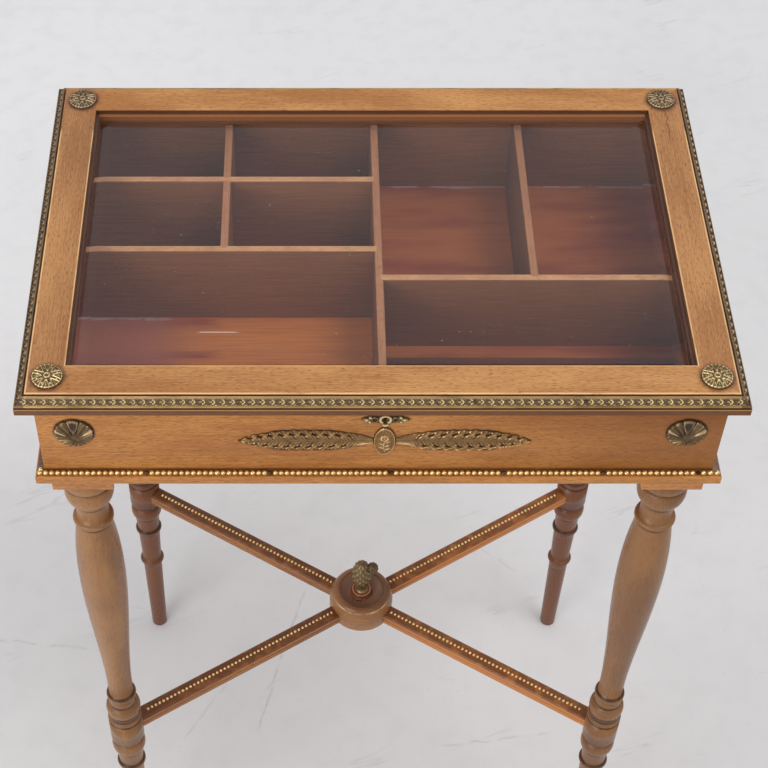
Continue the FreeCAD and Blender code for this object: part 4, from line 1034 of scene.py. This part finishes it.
def leafy_bud():
    """Round bud of overlapping leaves on a short waisted foot, with a smaller lobe high on its right."""
    points, tone, faces = [], [], []
    rows, sides, leaves, waist = 84, 64, 9, 0.15
    # Middle, height of the foot, radius, length, tiers of leaves, share of the waisted foot, darkness.
    for middle_x, lift, wide, tall, tiers, stem, dark in ((-0.4, 0.0, 9.6, 44.6, 11, waist, 0.0),
                                                          (10.0, 28.6, 5.9, 12.6, 5, 0.0, 0.35)):
        first = len(points)
        for i in range(rows + 1):
            share = i / rows
            tier = math.floor(share * tiers)
            local = share * tiers - tier
            foot = 5.5 - 1.6 * math.sin(share / waist * math.pi) if share < stem else 0.0
            up = min(max((share - 0.8 * stem) / (1 - 0.8 * stem), 0.0), 1.0)
            body = wide * max(0.0, 1 - abs(2 * up - 1) ** 2.6) ** 0.5
            shift = middle_x * min(share / stem, 1.0) if stem else middle_x
            for j in range(sides):
                turn = 2 * math.pi * j / sides
                wave = math.cos(turn * leaves + math.pi * tier)
                leaf = max(0.0, wave) ** 0.6 * (1 - local) ** 0.8
                vein = math.exp(-((1 - wave) / 0.10) ** 2)
                radius = max(foot, body * (0.86 + 0.14 * leaf), 0.05)
                points.append((shift + radius * math.cos(turn), radius * math.sin(turn),
                               lift + 0.2 + tall * share))
                shine = 0.24 + 0.40 * leaf + 0.22 * vein * leaf
                tone.append(max(0.0, min(1.0, shine * (1 - dark) if share > stem else 0.6)))
        for i in range(rows):
            lower, upper = first + i * sides, first + (i + 1) * sides
            for j in range(sides):
                k = (j + 1) % sides
                faces.append([lower + j, lower + k, upper + k, upper + j])
        faces.append([first + j for j in reversed(range(sides))])
        faces.append([first + rows * sides + j for j in range(sides)])
    return mesh_of(points, faces, tone)


# ---- the lid ------------------------------------------------------------------------
for side, grain in (("front_rail", "x"), ("back_rail", "x"), ("left_stile", "y"), ("right_stile", "y")):
    eased("lid_" + side, "lid_" + grain, "lid_wood", "lid")
dress("glazing_beads", "glazing")
dress("lid_glass", "glass")
for node in ("strike_plate", "hinge_upper_leaves", "lid_screws", "hinge_lower_leaves", "hinge_pins",
             "case_screws"):
    dress(node, "hinge")
for side in SIDES:
    dress("lid_band_" + side, "band")

rows = RowTree()
TURNS = {side: Matrix.Rotation(math.radians(90 * i), 3, "Z") for i, side in enumerate(SIDES)}
UP = (0.0, 0.0, 1.0)


def run_along(side, start, end, half, height):
    """Straight run along one side of a rectangle of the given half sizes, anticlockwise."""
    out = half[1] if side in LONG_SIDES else half[0]
    return tuple(TURNS[side] @ Vector((along, -out, height)) for along in (start, end))


def nail_runs(side, spots, half, height):
    """A run for each nail, so short that it carries only one."""
    return [run_along(side, spot, spot + 0.0002, half, height) for spot in spots]


def nail_row(runs, facing, radius, height):
    return rows.run(runs, bead_unit(radius, height, 10, 2), 1.0, facing, "nail")


# The band's relief and nails stand on the middle line of its slope.
BAND_BED = 0.0012
BAND_INSET = BAND_START[0] + BAND_WIDTH / 2 * BAND_RUN - BAND_BED * BAND_RISE
BAND_HALF = (LID_HALF[0] - BAND_INSET, LID_HALF[1] - BAND_INSET)
BAND_Z = BAND_START[1] + BAND_WIDTH / 2 * BAND_RISE + BAND_BED * BAND_RUN
BAND_PITCH, BAND_END_GAP = 0.0070, 0.0042
LONG_BAND_NAILS = (-0.1021, -0.0220, 0.0645, 0.1436)
SHORT_BAND_NAILS = (-0.085, 0.0, 0.085)
relief, reliefs, nails = band_unit(), [], []
for side in SIDES:
    long = side in LONG_SIDES
    facing = TURNS[side] @ Vector((0.0, -BAND_RISE, BAND_RUN))
    reach = BAND_HALF[0 if long else 1] - BAND_END_GAP
    line = run_along(side, -reach, reach, BAND_HALF, BAND_Z)
    # The short sides take the duller relief: painted shade.
    metal = "band_relief" if long else "side_relief"
    reliefs.append(rows.run([line], relief, BAND_PITCH, facing, metal, 0.04, 3))
    spots = LONG_BAND_NAILS if long else SHORT_BAND_NAILS
    nails.append(nail_row(nail_runs(side, spots, BAND_HALF, BAND_Z + 0.0004), facing, 1.25, 0.9))
piece("lid_band_relief", joined(reliefs), None, "band_brass", "lid")
piece("lid_band_nails", joined(nails), None, "band_brass", "lid")

for corner, (sx, sy) in CORNERS.items():
    place = Matrix.Translation((sx * ROSETTE_SPOT[0], sy * ROSETTE_SPOT[1], LID_TOP))
    metal = "mount" if sy < 0 else "back_mount"
    cast("rosette_%s_cast" % corner, rosette(), place, metal, "rosette_" + corner, "lid")

# ---- the case -----------------------------------------------------------------------
for side, grain in zip(SIDES, "xyxy"):
    eased("case_%s_panel" % side, "case_" + grain, "case_wood", "case")
    eased("base_moulding_" + side, "base_" + grain, "case_wood", "case")
eased("case_floor", "floor", "floor_wood", "case", 0.2)
for name, grain in (("centre", "y"), ("left_rear", "x"), ("left_middle", "x"), ("left_cross", "y"),
                    ("right_middle", "x"), ("right_cross", "y")):
    eased("divider_" + name, "divider_" + grain, "divider_wood", "case", 0.2)


def plain_ring(half, wide, bottom, top):
    """Closed flat ring round the table."""
    points, faces = [], []
    for z in (bottom, top):
        for reach in (wide / 2, -wide / 2):
            points += [(sx * (half[0] + reach), sy * (half[1] + reach), z)
                       for sx, sy in ((-1, -1), (1, -1), (1, 1), (-1, 1))]
    for i in range(4):
        j = (i + 1) % 4
        faces += [(i, j, 8 + j, 8 + i), (4 + j, 4 + i, 12 + i, 12 + j), (8 + i, 8 + j, 12 + j, 12 + i),
                  (j, i, 4 + i, 4 + j)]
    return mesh_of(points, faces, [0.3] * 16)


strip = plain_ring(STRIP_HALF, 0.0052, STRIP_Z - 0.0008, STRIP_Z)
for finish in ("plain_strip", "bead_strip"):
    strip.materials.append(finishes[finish])
for face in strip.polygons:
    face.material_index = int(face.center.y < -CASE_HALF[1] - 0.0005)

# The front strip has beads between its nails, and one bead round its left corner.
BEAD_PITCH, BEAD_NAIL_GAP, STRIP_END = 0.00425, 0.0040, 0.0045
FRONT_NAILS = (-0.1734, -0.0810, 0.0092, 0.0935, 0.1680, 0.2389)
END_NAILS = (-0.1240, -0.0420, 0.0400, 0.1220)
front = -STRIP_HALF[1]
stops = (-STRIP_HALF[0] - STRIP_END, *FRONT_NAILS, STRIP_HALF[0] + STRIP_END)
bead_lines = [((start + BEAD_NAIL_GAP, front, STRIP_Z), (end - BEAD_NAIL_GAP, front, STRIP_Z))
              for start, end in zip(stops, stops[1:]) if end - start > 3 * BEAD_PITCH]
bead_lines.append([(-STRIP_HALF[0], front + reach, STRIP_Z) for reach in (0.0030, 0.0032)])
bead_row = rows.run(bead_lines, bead_unit(2.12, 2.0), BEAD_PITCH, UP, "bead", 0.03, 5)
piece("base_bead_rows", joined([strip, bead_row]), None, "bead_brass", "case", "base_bead_strips")
front_nails = nail_row(nail_runs("front", FRONT_NAILS, STRIP_HALF, STRIP_Z), UP, 1.8, 1.3)
other_nails = []
for side, spots in (("right", END_NAILS), ("back", FRONT_NAILS), ("left", END_NAILS)):
    other_nails += nail_runs(side, spots, STRIP_HALF, STRIP_Z)
strip_nails = joined([front_nails, nail_row(other_nails, UP, 1.5, 0.9)])
piece("base_strip_nails", strip_nails, None, "bead_brass", "case")

for side, way in (("left", -1), ("right", 1)):
    cast("shell_%s_cast" % side, shell_fan(), on_front(way * SHELL_SPOT[0], SHELL_SPOT[1]), "shell",
         "shell_mount_" + side)
    cast("laurel_%s_cast" % side, laurel_spray(way), on_front(ORNAMENT_X + way * LAUREL_ROOT, ORNAMENT_Z),
         "front_mount", "laurel_spray_" + side)
cast("medallion_cast", medallion(), on_front(ORNAMENT_X, ORNAMENT_Z), "front_mount", "centre_medallion")
cast("escutcheon_cast", escutcheon(), on_front(ORNAMENT_X, KEYHOLE_Z), "mount", "keyhole_escutcheon")
dress("lock_case", "lock")
dress("lock_bolt", "lock")

# ---- the stand ----------------------------------------------------------------------
ARM_BEAD_PITCH, ARM_BEADS_FROM, ARM_BEADS_TO = 0.00415, 0.0235, 0.2278
arm_lines = []
for corner, (sx, sy) in CORNERS.items():
    axis = middle("leg_" + corner)
    eased("leg_pad_" + corner, "pad", "leg_wood", "case", 0.4)
    turned("leg_" + corner, "leg", "leg_wood", "case")
    eased("stretcher_arm_" + corner, "arm_a" if sx == sy else "arm_b", "stretcher_wood", "case", 0.3)
    leg = Vector((axis.x, axis.y, STRETCHER_TOP))
    way = Vector((-axis.x, -axis.y, 0.0)).normalized()
    arm_lines.append((leg + way * ARM_BEADS_FROM, leg + way * ARM_BEADS_TO))
arm_beads = rows.run(arm_lines, bead_unit(1.55, 1.5, 8, 3), ARM_BEAD_PITCH, UP, "bead", 0.06, 11)
piece("stretcher_bead_rows", arm_beads, None, "bead_brass", "case", "stretcher_bead_strips")
turned("stretcher_hub", "hub", "stretcher_wood", "case")
cast("finial_cast", leafy_bud(), Matrix.Translation((0.0, 0.0, HUB_RIM)), "finial", "finial")
dress("finial_stud", "stud")

# ---- studio -------------------------------------------------------------------------
scene = bpy.context.scene
scene.view_settings.view_transform = "Standard"

ground = bpy.data.meshes.new("studio_floor")
ground.from_pydata([(-9, -9, 0), (9, -9, 0), (9, 9, 0), (-9, 9, 0)], [], [(0, 1, 2, 3)])
ground.materials.append(studio_floor())
floor = bpy.data.objects.new("studio_floor", ground)
scene.collection.objects.link(floor)


class Sky(Tree):
    """World: a soft light level, and a pale studio for what the camera, gloss and glass see."""

    def __init__(self, level, seen):
        world = bpy.data.worlds.new("studio")
        world.use_nodes = True
        scene.world = world
        self.nodes, self.links = world.node_tree.nodes, world.node_tree.links
        self.nodes.clear()
        sight = self.ray("Camera").most(self.ray("Glossy")).most(self.ray("Transmission"))
        light = self.node("ShaderNodeBackground", {}, {"Color": (1.0, 1.0, 1.0, 1.0), "Strength": level})
        studio = self.node("ShaderNodeBackground", {}, {"Color": seen, "Strength": 1.0})
        both = self.node("ShaderNodeMixShader", {}, {0: sight, 1: light, 2: studio})
        end = self.nodes.new("ShaderNodeOutputWorld")
        self.links.new(both.socket, end.inputs["Surface"])


Sky(0.70, tint(190, 188, 193))


# Place, size and power of each soft lamp; both point at the case.
for name, place, size, power in (("front_soft", (-1.9, -2.2, 1.9), 1.8, 37),
                                 ("top_soft", (1.1, -0.5, 3.1), 1.1, 21)):
    light = bpy.data.lights.new(name, "AREA")
    light.shape, light.size, light.energy = "SQUARE", size, power
    holder = bpy.data.objects.new(name, light)
    holder.location = place
    holder.rotation_euler = (Vector((0.0, 0.0, 0.6)) - holder.location).to_track_quat("-Z", "Y").to_euler()
    scene.collection.objects.link(holder)

camera = bpy.data.cameras.new("camera")
camera.sensor_width = 36.0
camera.lens = 81.18
camera.shift_x = 0.0996
camera.clip_end = 50.0
viewer = bpy.data.objects.new("camera", camera)
viewer.location = (-0.05301, -0.95673, 1.69065)
viewer.rotation_euler = (math.radians(40.67), 0.0, 0.0)
scene.collection.objects.link(viewer)
scene.camera = viewer
